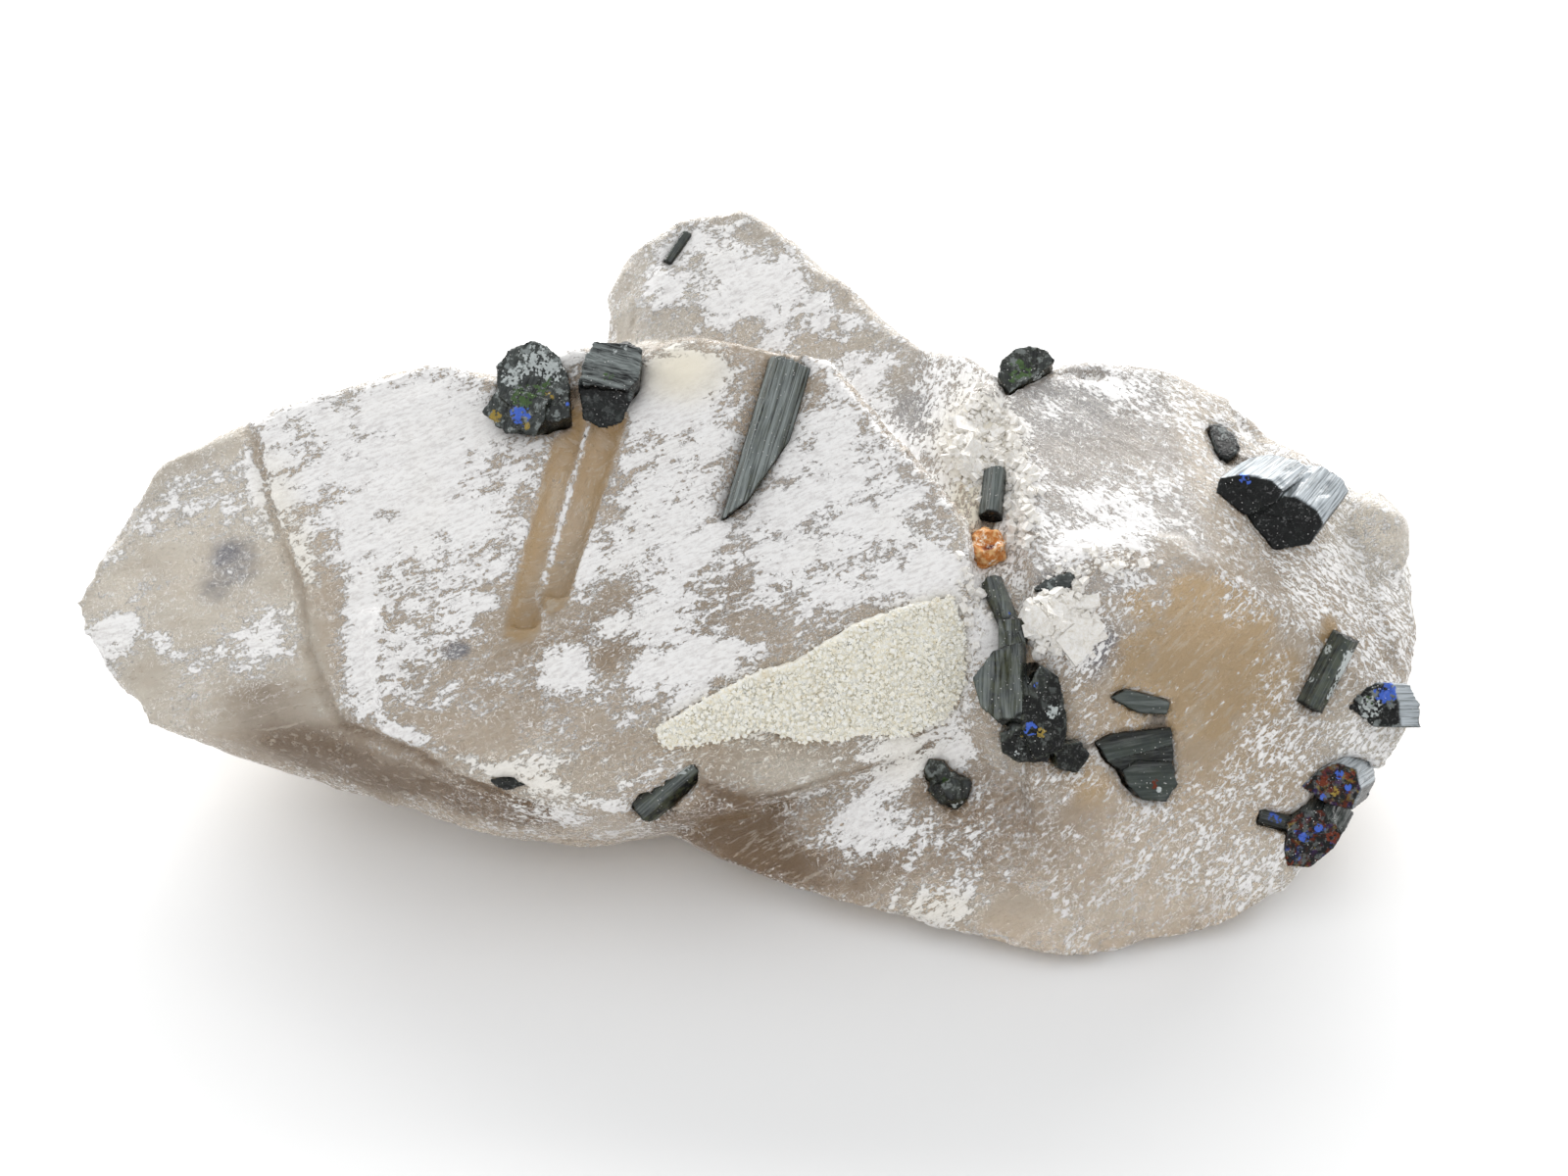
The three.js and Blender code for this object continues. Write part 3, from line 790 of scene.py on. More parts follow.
@dataclass(frozen=True)
class QuartzFinish:
    """Smoky quartz: see-through and smoky inside, with a skin of white frost.

    The frost begins over frost_edge, and frost_cover is how much of the clear crystal it hides.
    """

    smoky: Colour = tint(236, 221, 200)
    # dark colour of deep smoky quartz, also used for painted shade
    deep_and_shade: Colour = tint(118, 93, 66)
    # pale colour of clear quartz, also used for painted light shining through thin parts
    pale: Colour = tint(247, 241, 227)
    amber: Colour = tint(212, 182, 138)
    mould: Colour = tint(204, 172, 124)
    # painted reflection of the bright sky
    steel: Colour = tint(184, 186, 190)
    ink: Colour = tint(124, 126, 138)
    cream: Colour = tint(248, 240, 220)
    frost: Colour = tint(226, 223, 222)
    bright: Colour = tint(254, 253, 252)
    rock_shadow: Colour = tint(136, 128, 118)
    index: float = 1.544
    clearness: float = 0.55
    gloss: float = 0.16
    frost_edge: tuple[float, float] = (0.5, 0.53)
    frost_cover: float = 0.94
    frost_roughness: float = 0.6
    relief: float = 0.07
    absorption: Colour = (0.74, 0.62, 0.5, 1.0)
    density: float = 10.0
    veils: Streaks = Streaks((0.5, 1.0, 1.0), 2.2, 5.0, 0.6)
    sheets: Streaks = Streaks((0.7, 1.0, 1.0), 1.9, 8.0, 0.7, 0.5)
    streaks: Streaks = Streaks((0.22, 1.0, 1.0), 0.45, 4.0, 0.7)
    hatching: Streaks = Streaks((0.3, 1.0, 1.0), 0.24, 3.0, 0.6, 0.3)
    flecks: Streaks = Streaks((0.5, 1.0, 1.0), 0.28, 2.0, 0.6, 0.6)

    def material(self) -> bpy.types.Material:
        """Puts the finish together.

        Returns:
            The material.
        """
        bench = Bench("smoky_quartz")
        grain = bench.painted_vector("grain")
        place = bench.millimetres()
        fine = bench.painted("fine")
        speckle = bench.noise(place, 0.2, 3.0, 0.7)
        chips = bench.noise(place, 0.34, 5.0, 0.75, 0.8)
        clouds = bench.noise(place, 6.0, 4.0, 0.55)
        veils = self.veils.on(bench, grain)
        sheets = self.sheets.on(bench, grain)
        streaks = self.streaks.on(bench, grain)
        hatching = self.hatching.on(bench, grain)
        flecks = self.flecks.on(bench, grain)
        threads = bench.noise(grain, 0.9, 2.0, 0.5, 1.6)

        # where the frost lies: in sheets, in fine flecks, in bits, as dust, on worn edges, in curls
        ground = bench.painted("frost") + (sheets - 0.5) * (1.8 - fine)
        ground = ground + (streaks - 0.5) * (0.6 - fine * 0.3) + (chips - 0.5) * 0.9
        patchy = veils.step(0.36, 0.6) * 1.2 + 0.7
        ground = ground + (flecks - 0.5) * (fine * 1.9 * patchy + 0.2)
        frosted = ground.step(*self.frost_edge)
        bits = (ground * 0.5 + (hatching - 0.5) * 1.9).step(0.46, 0.5) * (1.0 - fine * 0.3)
        dusted = ground.step(0.1, 0.5) * 0.12
        curls = 1.0 - (threads - 0.5).math("ABSOLUTE").step(0.012, 0.03)
        curls = curls * chips.step(0.46, 0.5) * bench.painted("frost").step(0.0, 0.3)
        worn = (bench.painted("worn") + (speckle - 0.5) * 1.2).step(0.5, 0.7)
        cover = frosted.most(bits * 0.85).most(dusted).most(worn * 0.8).most(curls * 0.8)

        # the colour of the clear ground
        # darker where the quartz is thick, and where painted shade lies on the lower, under and back
        # faces and in the cuts
        depth = bench.painted("thick") + (clouds - 0.5) * 0.5 + (chips - 0.5) * 0.6
        body = bench.blend(depth, self.smoky, self.deep_and_shade)
        # paler ground: paler quartz, and painted light shining through thin parts
        body = bench.blend(bench.painted("pale") * (veils.step(0.3, 0.6) * 0.5 + 0.5), body, self.pale)
        # painted reflection of the sky, grey under the frost
        body = bench.blend(bench.painted("steel"), body, self.steel)
        body = bench.blend(bench.painted("amber") * (chips + 0.5), body, self.amber)
        body = bench.blend(bench.painted("mould"), body, self.mould)
        scores = streaks.step(0.56, 0.6) * 0.34
        body = bench.blend(scores, body, self.pale)
        body = bench.blend(hatching.step(0.6, 0.66) * 0.3, body, self.deep_and_shade)
        wisps = veils.step(0.54, 0.72) * (1.0 - bench.painted("thick"))
        body = bench.blend(wisps * 0.5, body, self.pale)
        smudge = (bench.painted("smudge") * (veils * 3.0 - 0.6)).step(0.1, 0.9)
        body = bench.blend(smudge, body, self.ink)
        body = bench.blend(bench.painted("contact"), body, self.rock_shadow)

        # the colour and the relief of the frost
        lights = hatching * 0.7 + chips * 0.4 + streaks * 0.2
        skin = bench.blend(lights.step(0.5, 0.72), self.frost, self.bright)
        skin = bench.blend(bench.painted("cream") + (clouds - 0.5) * 0.4, skin, self.cream)
        height = ground.step(0.45, 0.6) + hatching * 0.7 + chips * 0.9
        bumped = bench.relief(height, self.relief)

        clear = bench.skin({
            "Base Color": body,
            "Roughness": self.gloss + dusted * 0.5 + veils * 0.12,
            "IOR": self.index,
            "Transmission Weight": self.clearness,
            "Normal": bumped,
        })
        frosty = bench.skin({
            "Base Color": skin,
            "Roughness": self.frost_roughness - speckle * 0.25,
            "IOR": self.index,
            "Normal": bumped,
        })
        share = cover * self.frost_cover * (1.0 - bench.painted("contact"))
        surface = bench.value("ShaderNodeMixShader", None, {0: share, 1: clear, 2: frosty})
        sockets = {"Color": self.absorption, "Density": self.density}
        return bench.finish(surface, bench.value("ShaderNodeVolumeAbsorption", None, sockets))


class Hue(Enum):
    """The colours of a broken tourmaline.

    Each has the name that it is painted under, its colour, and how wide its flakes are.
    """

    BLUE = ("blue", tint(76, 108, 204), 0.3)
    BRASS = ("brass", tint(156, 134, 68), 0.22)
    RUST = ("rust", tint(112, 56, 40), 0.28)
    LEAF = ("leaf", tint(76, 98, 62), 0.3)
    PALE = ("milky", tint(188, 195, 194), 0.2)

    def __init__(self, layer: str, colour: Colour, flake: float) -> None:
        """Keeps what the hue stands for.

        Args:
            layer: the name that it is painted under.
            colour: its colour.
            flake: how wide its flakes are, in millimetres.
        """
        self.layer = layer
        self.colour = colour
        self.flake = flake


@dataclass(frozen=True)
class TourmalineFinish:
    """Near-black tourmaline: striped lengthwise, glassy where broken, with coloured fire there."""

    black: Colour = tint(12, 14, 15)
    green: Colour = tint(40, 48, 44)
    # painted sheen of light on the upper sides and breaks
    slate: Colour = tint(134, 141, 140)
    olive: Colour = tint(88, 92, 62)
    # painted reflection of the bright sky on the upper sides
    silver: Colour = tint(184, 192, 198)
    dust: Colour = tint(235, 233, 230)
    violet: Colour = tint(60, 52, 104)
    index: float = 1.64
    shine: float = 0.18
    gloss: float = 0.18
    stripe_relief: float = 0.05
    break_relief: float = 0.1
    coat_roughness: float = 0.09
    coat_index: float = 1.85
    lines: Streaks = Streaks((1.0, 0.04, 0.2), 0.14, 4.0, 0.6)
    broad_lines: Streaks = Streaks((1.0, 0.03, 0.2), 0.7, 2.0, 0.5)

    def material(self) -> bpy.types.Material:
        """Puts the finish together.

        Returns:
            The material.
        """
        bench = Bench("tourmaline")
        grain = bench.painted_vector("grain")
        place = bench.millimetres()
        broken = bench.painted("broken")
        lines = self.lines.on(bench, grain)
        broad_lines = self.broad_lines.on(bench, grain)
        mottle = bench.noise(place, 0.7, 5.0, 0.65)
        hackle = bench.noise(place, 0.28, 5.0, 0.65)

        # the dark body, and a painted sheen of light on its upper sides and breaks
        body = bench.blend(broad_lines.step(0.42, 0.66), self.black, self.green)
        body = bench.blend(bench.painted("olive") * mottle.step(0.4, 0.6), body, self.olive)
        body = bench.blend(broken * 0.85, body, self.black)
        on_side = lines.step(0.36, 0.6) * 0.55 + broad_lines.step(0.36, 0.56) * 0.4
        on_break = mottle.step(0.52, 0.6) * (0.3 + hackle)
        sheen = bench.painted("slate") * (on_side + (on_break - on_side) * broken)
        body = bench.blend(sheen, body, self.slate)
        # painted reflection of the sky on the upper sides of reflecting rods
        reflected_sides = bench.painted("silver") * (0.3 + lines.step(0.34, 0.6) * 0.7)
        body = bench.blend(reflected_sides, body, self.silver)

        # scattered fire, then the painted spots of each hue
        hues = bench.cells(place, 0.5, "Color")
        stops = [
            (0.3, Hue.RUST.colour),
            (0.4, Hue.BRASS.colour),
            (0.46, self.black),
            (0.52, Hue.BLUE.colour),
            (0.6, self.violet),
            (0.72, Hue.RUST.colour),
        ]
        fire = bench.value("ShaderNodeValToRGB", {"stops": stops}, {0: hues}, "Color")
        spots = bench.noise(place, 0.55, 4.0, 0.7)
        lit = (bench.painted("fire") + (spots - 0.5) * 1.5).step(0.5, 0.75)
        body = bench.blend(lit * 0.7, body, fire)
        patchy = bench.noise(place, 0.22, 3.0, 0.7, 0.5)
        for hue in Hue:
            mosaic = bench.cells(place, hue.flake, "Color")
            mask = (bench.painted(hue.layer) * (mosaic * 1.6 + patchy * 0.8)).step(0.85, 1.0)
            body = bench.blend(mask * (0.45 + hackle), body, hue.colour)
            if hue is not Hue.PALE:
                lit = lit.most(mask * 0.8)

        # white dust, glassy spots and stripes
        specks = bench.cells(place, 0.34)
        sown = bench.noise(place, 1.6, 2.0, 0.5).step(0.4, 0.6)
        dusty = (1.0 - specks.step(0.09, 0.15)) * sown
        body = bench.blend(dusty * 0.85, body, self.dust)
        glints = bench.noise(place, 0.34, 3.0, 0.6, 1.4)
        glassy = glints.step(0.6, 0.64) * broken + lines.step(0.56, 0.64) * (1.0 - broken) * 0.5
        stripes = bench.relief(lines * 0.7 + broad_lines, self.stripe_relief)
        bumped = bench.relief(hackle * broken, self.break_relief, stripes)
        surface = bench.skin({
            "Base Color": body,
            "Roughness": self.gloss + lines * 0.16 + dusty * 0.4 - broken * 0.12,
            "Metallic": lit * 0.7 * (1.0 - dusty),
            "IOR": self.index,
            "Specular IOR Level": self.shine,
            "Coat Weight": glassy * (1.0 - dusty),
            "Coat Roughness": self.coat_roughness,
            "Coat IOR": self.coat_index,
            "Normal": bumped,
        })
        return bench.finish(surface)


@dataclass(frozen=True)
class AlbiteFinish:
    """Sugary cream albite: dull, with sparkling grains."""

    name: str = "albite"
    cream: Colour = tint(255, 250, 233)
    white: Colour = tint(255, 255, 251)
    stain: Colour = tint(228, 208, 172)
    index: float = 1.53
    relief: float = 0.12

    def material(self) -> bpy.types.Material:
        """Puts the finish together.

        Returns:
            The material.
        """
        bench = Bench(self.name)
        place = bench.millimetres()
        grains = bench.noise(place, 0.34, 5.0, 0.7)
        clouds = bench.noise(place, 3.4, 4.0, 0.6)
        body = bench.blend(grains.step(0.4, 0.62), self.cream, self.white)
        hollows = 1.0 - grains.step(0.32, 0.42)
        body = bench.blend(hollows * 0.6 + clouds.step(0.6, 0.8) * 0.25, body, self.stain)
        surface = bench.skin({
            "Base Color": body,
            "Roughness": 0.7 - grains * 0.3,
            "IOR": self.index,
            "Normal": bench.relief(grains, self.relief),
        })
        return bench.finish(surface)


@dataclass(frozen=True)
class RustFinish:
    """Granular iron rust: orange, with dark red hollows and white grains on it."""

    orange: Colour = tint(196, 118, 52)
    light: Colour = tint(232, 186, 130)
    dark: Colour = tint(122, 44, 22)
    white: Colour = tint(246, 236, 222)
    relief: float = 0.15

    def material(self) -> bpy.types.Material:
        """Puts the finish together.

        Returns:
            The material.
        """
        bench = Bench("iron_rust")
        place = bench.millimetres()
        grains = bench.noise(place, 0.4, 5.0, 0.7)
        clouds = bench.noise(place, 1.5, 3.0, 0.6)
        body = bench.blend(grains.step(0.42, 0.62), self.orange, self.light)
        hollow = bench.painted("hollow") + (grains - 0.5) * 0.6
        body = bench.blend(hollow.step(0.35, 0.7), body, self.dark)
        body = bench.blend(clouds.step(0.52, 0.6) * grains.step(0.5, 0.58), body, self.white)
        surface = bench.skin({
            "Base Color": body,
            "Roughness": 0.85 - grains * 0.2,
            "Normal": bench.relief(grains, self.relief),
        })
        return bench.finish(surface)


@dataclass(frozen=True)
class TableFinish:
    """A plain pale table top."""

    pale: Colour = (0.93, 0.93, 0.93, 1.0)
    roughness: float = 0.8

    def material(self) -> bpy.types.Material:
        """Puts the finish together.

        Returns:
            The material.
        """
        bench = Bench("pale_table")
        sockets = {"Base Color": self.pale, "Roughness": self.roughness}
        return bench.finish(bench.skin(sockets))


# Quartz


@dataclass(frozen=True)
class CrystalFace:
    """A face of a crystal: its plane, and how its frost lies.

    The plane is its height over the origin and its rise along X and Y. frost is how much of the
    face is frosted, streak the way that its frost runs, in degrees from X in plan, and fine how
    much of it is small flecks instead of sheets. pale is how pale its ground is, with painted
    light shining through where the crystal is thin, and steel its painted reflection of
    the sky.
    """

    name: str
    level: float
    along_x: float
    along_y: float
    frost: float
    streak: float
    fine: float
    pale: float = 0.0
    # how much painted reflection of the sky the face shows
    steel: float = 0.0

    @property
    def normal(self) -> Array:
        """Its unit normal, up and out."""
        up = np.array([-self.along_x, -self.along_y, 1.0])
        return up / np.linalg.norm(up)

    def axes(self) -> Array:
        """Three unit axes: along its streaks, across them on the face, and its normal."""
        angle = math.radians(self.streak)
        along = np.array([math.cos(angle), math.sin(angle), 0.0])
        along[2] = self.along_x * along[0] + self.along_y * along[1]
        along /= np.linalg.norm(along)
        return np.stack([along, np.cross(self.normal, along), self.normal])

    def height_of(self, points: Array) -> Array:
        """How far each point is off the face, in millimetres."""
        design = points - CENTRING
        plane = self.level + self.along_x * design[:, 0] + self.along_y * design[:, 1]
        return (design[:, 2] - plane) * self.normal[2]


FACES = (
    CrystalFace("broad", 28.5, 0.1, 0.55, 0.56, 17.0, 0.2),
    CrystalFace("left_end", 45.5, 0.548, 0.746, 0.25, -10.0, 0.2, pale=0.9),
    CrystalFace("steep_front", 46.2, -0.302, 1.643, 0.3, 18.0, 0.6),
    CrystalFace("low_front", 28.8, 0.27, 1.2, 0.38, 13.0, 0.4),
    CrystalFace("rear_top", 26.1, -0.141, 0.533, 0.46, 30.0, 0.2, pale=0.6),
    CrystalFace("right_top", 27.3, 0.0, 0.222, 0.4, -41.0, 0.55, steel=0.65),
    CrystalFace("right_shoulder", 36.0, -0.25, 0.192, 0.42, -30.0, 0.9, pale=0.3),
    CrystalFace("right_front", 54.5, -0.401, 1.536, 0.36, 36.0, 1.0),
    CrystalFace("right_side", 51.2, -0.633, 0.344, 0.42, -21.0, 0.9),
    CrystalFace("valley", 26.0, 0.0, 0.3, 0.5, 70.0, 0.8, steel=0.3),
)
BROKEN_GROUND = CrystalFace("broken ground", 0.0, 0.0, 0.0, 0.36, 20.0, 0.6, pale=0.12)
STEEP_FRONT = FACES[2]
GROUNDS = (*FACES, BROKEN_GROUND)  # a face's number counts these, and -1 is broken ground

# frosted ground, or bare ground where the amount is below 0
FROST_PATCHES = (
    Patch("upper left of the broad face", (-29.0, 2.4, 27.0), (9.0, 5.0, 6.0), 0.3, 17.0),
    Patch("middle left of the broad face", (-24.0, -5.0, 23.6), (7.0, 4.0, 5.0), 0.1, 17.0),
    Patch("right of the moulds", (-5.0, -3.0, 26.4), (4.0, 6.0, 5.0), 0.2),
    Patch("bright field by the right edge", (8.0, -4.5, 27.0), (6.0, 5.4, 5.0), 0.2, 17.0),
    Patch("under the point of the rod", (2.0, -9.0, 23.8), (4.0, 3.0, 3.0), 0.16, 17.0),
    Patch("beside the thick rod", (-6.5, 5.4, 31.4), (3.6, 3.0, 3.0), 0.3),
    Patch("rear crystal bright left", (-7.0, 15.6, 35.2), (2.6, 3.8, 3.0), 0.4),
    Patch("crumbly foot of the crust", (12.6, -17.6, 12.4), (3.4, 1.6, 2.6), 0.6),
    Patch("left of the valley cluster", (15.6, -14.0, 19.4), (1.5, 3.6, 4.4), 0.45),
    Patch("island", (-13.8, -14.8, 18.9), (2.0, 2.4, 3.0), 0.36, 60.0),
    Patch("band over the crust", (-4.5, -14.6, 20.0), (7.0, 1.6, 3.0), 0.34, 17.0),
    Patch("ghost of a rod", (-0.2, -8.6, 23.7), (1.0, 5.0, 4.0), -0.2),
    Patch("left rim of the broad face", (-38.0, 2.0, 26.0), (1.5, 4.0, 4.0), 0.25),
    Patch("brown band by the left rim", (-33.0, -9.4, 20.0), (1.4, 4.6, 5.0), -0.45),
    Patch("brown band in the middle", (-17.0, -12.0, 20.2), (9.0, 2.4, 4.0), -0.36, 17.0),
    Patch("brown band over the crust", (2.0, -12.4, 21.8), (5.0, 1.2, 3.0), -0.3, 17.0),
    Patch("right end of the crust", (14.6, -12.0, 22.4), (2.2, 5.0, 6.0), 0.5),
    Patch("right of the rear crystal", (10.0, 6.4, 31.0), (5.0, 4.0, 5.0), 0.3, -30.0),
    Patch("brown field under the island", (-17.0, -17.4, 17.2), (8.0, 2.2, 3.0), -0.22, 10.0),
    Patch("bare step by the rear crystal", (-1.0, 9.0, 33.3), (6.0, 1.6, 3.0), -0.2),
    Patch("rear crystal blotch", (2.5, 14.5, 33.6), (6.0, 2.6, 4.0), 0.42, -10.0),
    Patch("rear crystal second blotch", (0.5, 17.6, 35.6), (4.5, 1.8, 4.0), 0.3),
    Patch("rear crystal bare left", (-8.0, 14.0, 33.6), (4.0, 5.0, 5.0), -0.2),
    Patch("rear crystal bare right slope", (11.0, 15.0, 31.0), (3.4, 3.4, 4.0), -0.12, -40.0),
    Patch("valley crud", (18.6, 3.8, 27.2), (3.4, 4.6, 4.0), 0.5),
    Patch("valley crud beside the rod", (22.0, -1.0, 26.6), (1.8, 5.0, 4.0), 0.45),
    Patch("right top blotch", (29.6, -4.6, 26.4), (3.2, 2.2, 3.0), 0.3, -30.0),
    Patch("right top rear blotch", (28.0, 8.6, 29.2), (2.6, 1.6, 3.0), 0.22),
    Patch("lower right corner", (42.6, -20.8, 3.8), (4.0, 3.0, 3.0), 0.22),
    Patch("front lip", (26.5, -8.0, 25.8), (4.6, 2.0, 3.0), 0.26),
    Patch("flaky hollow", (24.6, -14.2, 22.4), (3.6, 3.0, 4.0), 0.3),
    Patch("bare top", (26.4, 4.0, 28.2), (4.6, 4.0, 3.0), -0.2),
    Patch("amber window", (34.4, -13.8, 19.4), (6.6, 5.0, 6.2), -0.5),
    Patch("bare ground right of the stub", (36.0, -17.8, 14.0), (3.4, 3.0, 4.0), -0.25),
    Patch("clear window by the stub", (28.4, -17.0, 17.0), (4.4, 1.8, 2.4), -0.2),
    Patch("cream step", (-4.8, 6.3, 32.1), (3.2, 1.4, 2.0), 0.25),
    Patch("grey smear in the valley", (13.4, 6.4, 28.0), (1.6, 2.6, 2.0), -0.35, 20.0),
    Patch("front edge of the broad crystal", (-17.0, -21.8, 14.2), (8.0, 1.6, 2.0), 0.16),
    Patch("shoulder streaks", (45.5, -5.0, 21.0), (5.0, 5.0, 4.0), 0.12),
    Patch("right rim", (51.5, -7.0, 17.0), (2.4, 5.0, 5.0), 0.2),
    Patch("low front bare left", (0.0, -20.0, 7.0), (5.6, 3.6, 4.6), -0.5),
    Patch("low front bare foot", (7.6, -21.8, 4.6), (5.0, 2.0, 1.8), -0.4),
    Patch("low front blotch", (9.0, -20.8, 6.8), (5.6, 3.2, 3.4), 0.36),
    Patch("low front bright foot", (15.0, -24.8, 3.4), (5.0, 1.6, 1.6), 0.26),
    Patch("low front bare right foot", (20.8, -25.6, 3.8), (2.6, 1.6, 1.4), -0.4),
    Patch("low front bare spot", (14.6, -19.0, 10.2), (2.0, 1.6, 1.6), -0.3),
    Patch("white skin on the low step", (-14.5, -21.3, 10.6), (3.6, 2.0, 1.6), 0.34),
    Patch("right knob", (51.0, 1.0, 20.0), (4.0, 5.0, 5.0), -0.1),
    Patch("left end bright lower edge", (-38.4, -9.4, 17.2), (3.8, 2.8, 2.8), 0.42, -10.0),
    Patch("left end corner", (-51.0, -5.6, 13.2), (2.8, 2.4, 2.6), 0.4),
    Patch("left end by the groove", (-38.6, -1.0, 23.4), (2.4, 5.0, 4.0), 0.22, 20.0),
    Patch("left under side", (-30.0, -17.6, 11.4), (13.0, 3.4, 3.6), -0.38, -14.0),
    Patch("bright spots on it", (-38.0, -13.6, 14.6), (3.0, 2.0, 2.0), 0.2, -14.0),
    Patch("lower edge of the left end", (-36.6, -14.6, 13.6), (6.4, 2.6, 2.8), -0.3, -14.0),
    Patch("white strokes in the dark cloud", (-41.6, -3.6, 20.2), (2.0, 1.0, 2.0), 0.3, -40.0),
    Patch("upper edge of the left end", (-47.0, 3.0, 20.0), (7.0, 2.0, 4.0), 0.34, 20.0),
    Patch("bare back", (0.0, 24.0, 13.0), (60.0, 8.0, 12.0), -0.2),
    Patch("over the amber stub", (31.0, -16.2, 16.6), (3.4, 1.6, 2.0), 0.25),
    Patch("over the low bud", (16.2, -17.0, 13.6), (1.6, 1.8, 3.0), 0.4),
    Patch("low front upper left", (2.4, -19.2, 9.0), (3.0, 2.2, 2.4), 0.2),
    Patch("right side by the rods", (47.0, -15.6, 11.6), (4.4, 3.4, 4.4), 0.28),
    Patch("heel of the low step", (-10.0, -18.6, 7.0), (4.0, 3.0, 3.0), 0.14),
    Patch("bare ground under the stub", (26.6, -21.6, 10.8), (2.6, 2.4, 3.0), -0.3),
    Patch("bare corner of the broad face", (-20.6, -19.4, 15.6), (3.4, 1.6, 2.0), -0.3),
    Patch("white ledge by the left rim", (-29.6, -11.2, 19.8), (1.4, 4.4, 3.0), 0.45),
    Patch("between the rod and the base lump", (18.8, -13.2, 21.0), (1.2, 2.6, 3.0), 0.5),
    Patch("left of the pointed rod", (-2.8, 2.0, 29.3), (2.0, 3.0, 3.0), 0.22, 17.0),
    Patch("right of the pointed rod's tip", (1.4, -4.4, 26.2), (2.6, 2.4, 3.0), 0.34, 17.0),
    Patch("upper right of the broad face", (7.2, -0.4, 29.0), (4.0, 3.4, 3.0), 0.2, 17.0),
    Patch("round the clear end of the mould", (-13.2, -6.2, 23.0), (1.8, 3.6, 4.0), 0.4),
    Patch("between the valley and its cluster", (17.4, -11.0, 23.4), (2.2, 4.4, 4.0), 0.32),
    Patch("upper edge of the crust", (8.4, -10.6, 22.8), (6.0, 1.1, 2.4), 0.3, 17.0),
    Patch("top rim of the broad face", (-30.0, 6.2, 28.6), (9.0, 1.8, 3.0), 0.3, 10.0),
    Patch("brown spot left of the crust", (-10.1, -14.2, 19.6), (1.8, 1.6, 2.0), -0.3),
)

# cream instead of white frost
CREAM_PATCHES = (
    Patch("crumbly foot of the crust", (12.6, -17.6, 12.4), (3.4, 1.6, 2.6), 0.3),
    Patch("cream step", (-5.0, 6.6, 32.2), (3.6, 2.4, 3.0), 0.9),
    Patch("valley", (18.4, 3.6, 27.0), (3.4, 6.0, 4.0), 0.7),
    Patch("under the rust", (17.6, -3.0, 25.6), (1.8, 3.0, 3.0), 0.9),
    Patch("front edge of the broad crystal", (-18.0, -21.2, 14.0), (9.0, 2.4, 2.6), 0.4),
    Patch("left rim", (-35.6, -5.0, 22.6), (2.0, 9.0, 6.0), 0.5, 20.0),
    Patch("below the crust", (3.0, -19.4, 14.6), (9.0, 1.6, 3.0), 0.6),
    Patch("low front bright foot", (15.0, -24.8, 3.4), (5.0, 1.6, 1.6), 0.45),
)

# amber under the frost
AMBER_PATCHES = (
    Patch("apex of the right crystal", (35.6, -10.4, 24.4), (3.6, 1.6, 1.6), 0.5),
    Patch("right front", (37.0, -17.6, 13.4), (9.0, 5.0, 6.0), 0.55),
    Patch("under the stub", (26.6, -20.4, 12.4), (1.6, 1.6, 1.8), 0.95),
    Patch("stain by the low front foot", (15.3, -24.2, 4.0), (1.4, 1.2, 1.0), 0.8),
    Patch("clear window by the stub", (28.4, -17.0, 17.0), (4.4, 1.8, 2.4), 0.3),
    Patch("stain in the valley", (16.8, -2.3, 27.1), (0.6, 3.4, 1.6), 0.9),
    Patch("spot by the green rod", (46.2, -8.6, 20.6), (1.4, 1.4, 1.6), 0.9),
    Patch("beside the lower rods", (42.4, -20.0, 5.0), (1.6, 1.6, 2.4), 0.6),
    Patch("broad crystal", (-14.0, -12.0, 20.4), (14.0, 5.0, 5.0), 0.16),
)

# painted reflection of the bright sky, laid on as grey under the frost
SKY_REFLECTION_PATCHES = (
    Patch("grey lip", (24.0, -10.0, 24.0), (2.4, 1.6, 2.0), 0.7),
    Patch("grey smear in the valley", (13.4, 6.4, 28.0), (2.0, 2.6, 2.4), 0.7, 20.0),
    Patch("grey top", (25.0, 6.4, 28.8), (4.0, 3.0, 3.0), 0.4),
    Patch("broad crystal right", (6.0, -4.0, 27.0), (10.0, 6.0, 5.0), 0.5),
)

# pale, glassy ground: paler quartz, and painted light shining through where it is thin
PALE_PATCHES = (
    Patch("lower right corner", (42.6, -20.8, 3.8), (4.4, 3.0, 3.0), 0.9),
    Patch("foot of the rear crystal", (-9.0, 11.6, 33.4), (3.6, 3.0, 4.0), 0.8),
    Patch("rear crystal bright left", (-7.8, 14.6, 34.8), (3.4, 4.6, 3.6), 1.0),
    Patch("right side by the rods", (47.0, -15.6, 11.6), (4.4, 3.4, 4.4), 0.5),
    Patch("right knob", (51.0, 1.6, 19.6), (4.6, 5.6, 5.6), 1.0),
    Patch("rear crystal left", (-10.0, 16.0, 33.2), (3.6, 5.4, 5.0), 0.9),
    Patch("left tip", (-52.0, -1.0, 15.6), (5.0, 7.0, 6.0), 0.6),
    Patch("left under rim", (-44.0, -9.0, 9.0), (8.0, 4.0, 4.0), 0.6),
    Patch("front edge of the broad crystal", (-15.0, -21.6, 14.0), (8.0, 2.0, 2.4), 0.5),
    Patch("right edge", (49.4, -15.4, 11.6), (3.4, 3.4, 5.0), 1.0),
    Patch("right knob inside", (50.6, -1.4, 20.3), (4.0, 4.0, 4.0), 0.8),
    Patch("left of the valley cluster", (17.0, -10.4, 23.8), (2.6, 5.0, 4.4), 0.9),
    Patch("top rim of the broad face", (-31.0, 5.8, 28.2), (9.0, 2.4, 3.0), 0.9),
    Patch("clear band below the crust", (3.0, -19.8, 12.8), (5.4, 1.6, 2.0), 1.0),
    Patch("toe of the low step", (-9.6, -20.6, 7.6), (3.0, 2.0, 1.8), 0.7),
    Patch("strip between the lower rods", (46.4, -17.6, 6.6), (3.0, 1.2, 1.0), 0.7),
)

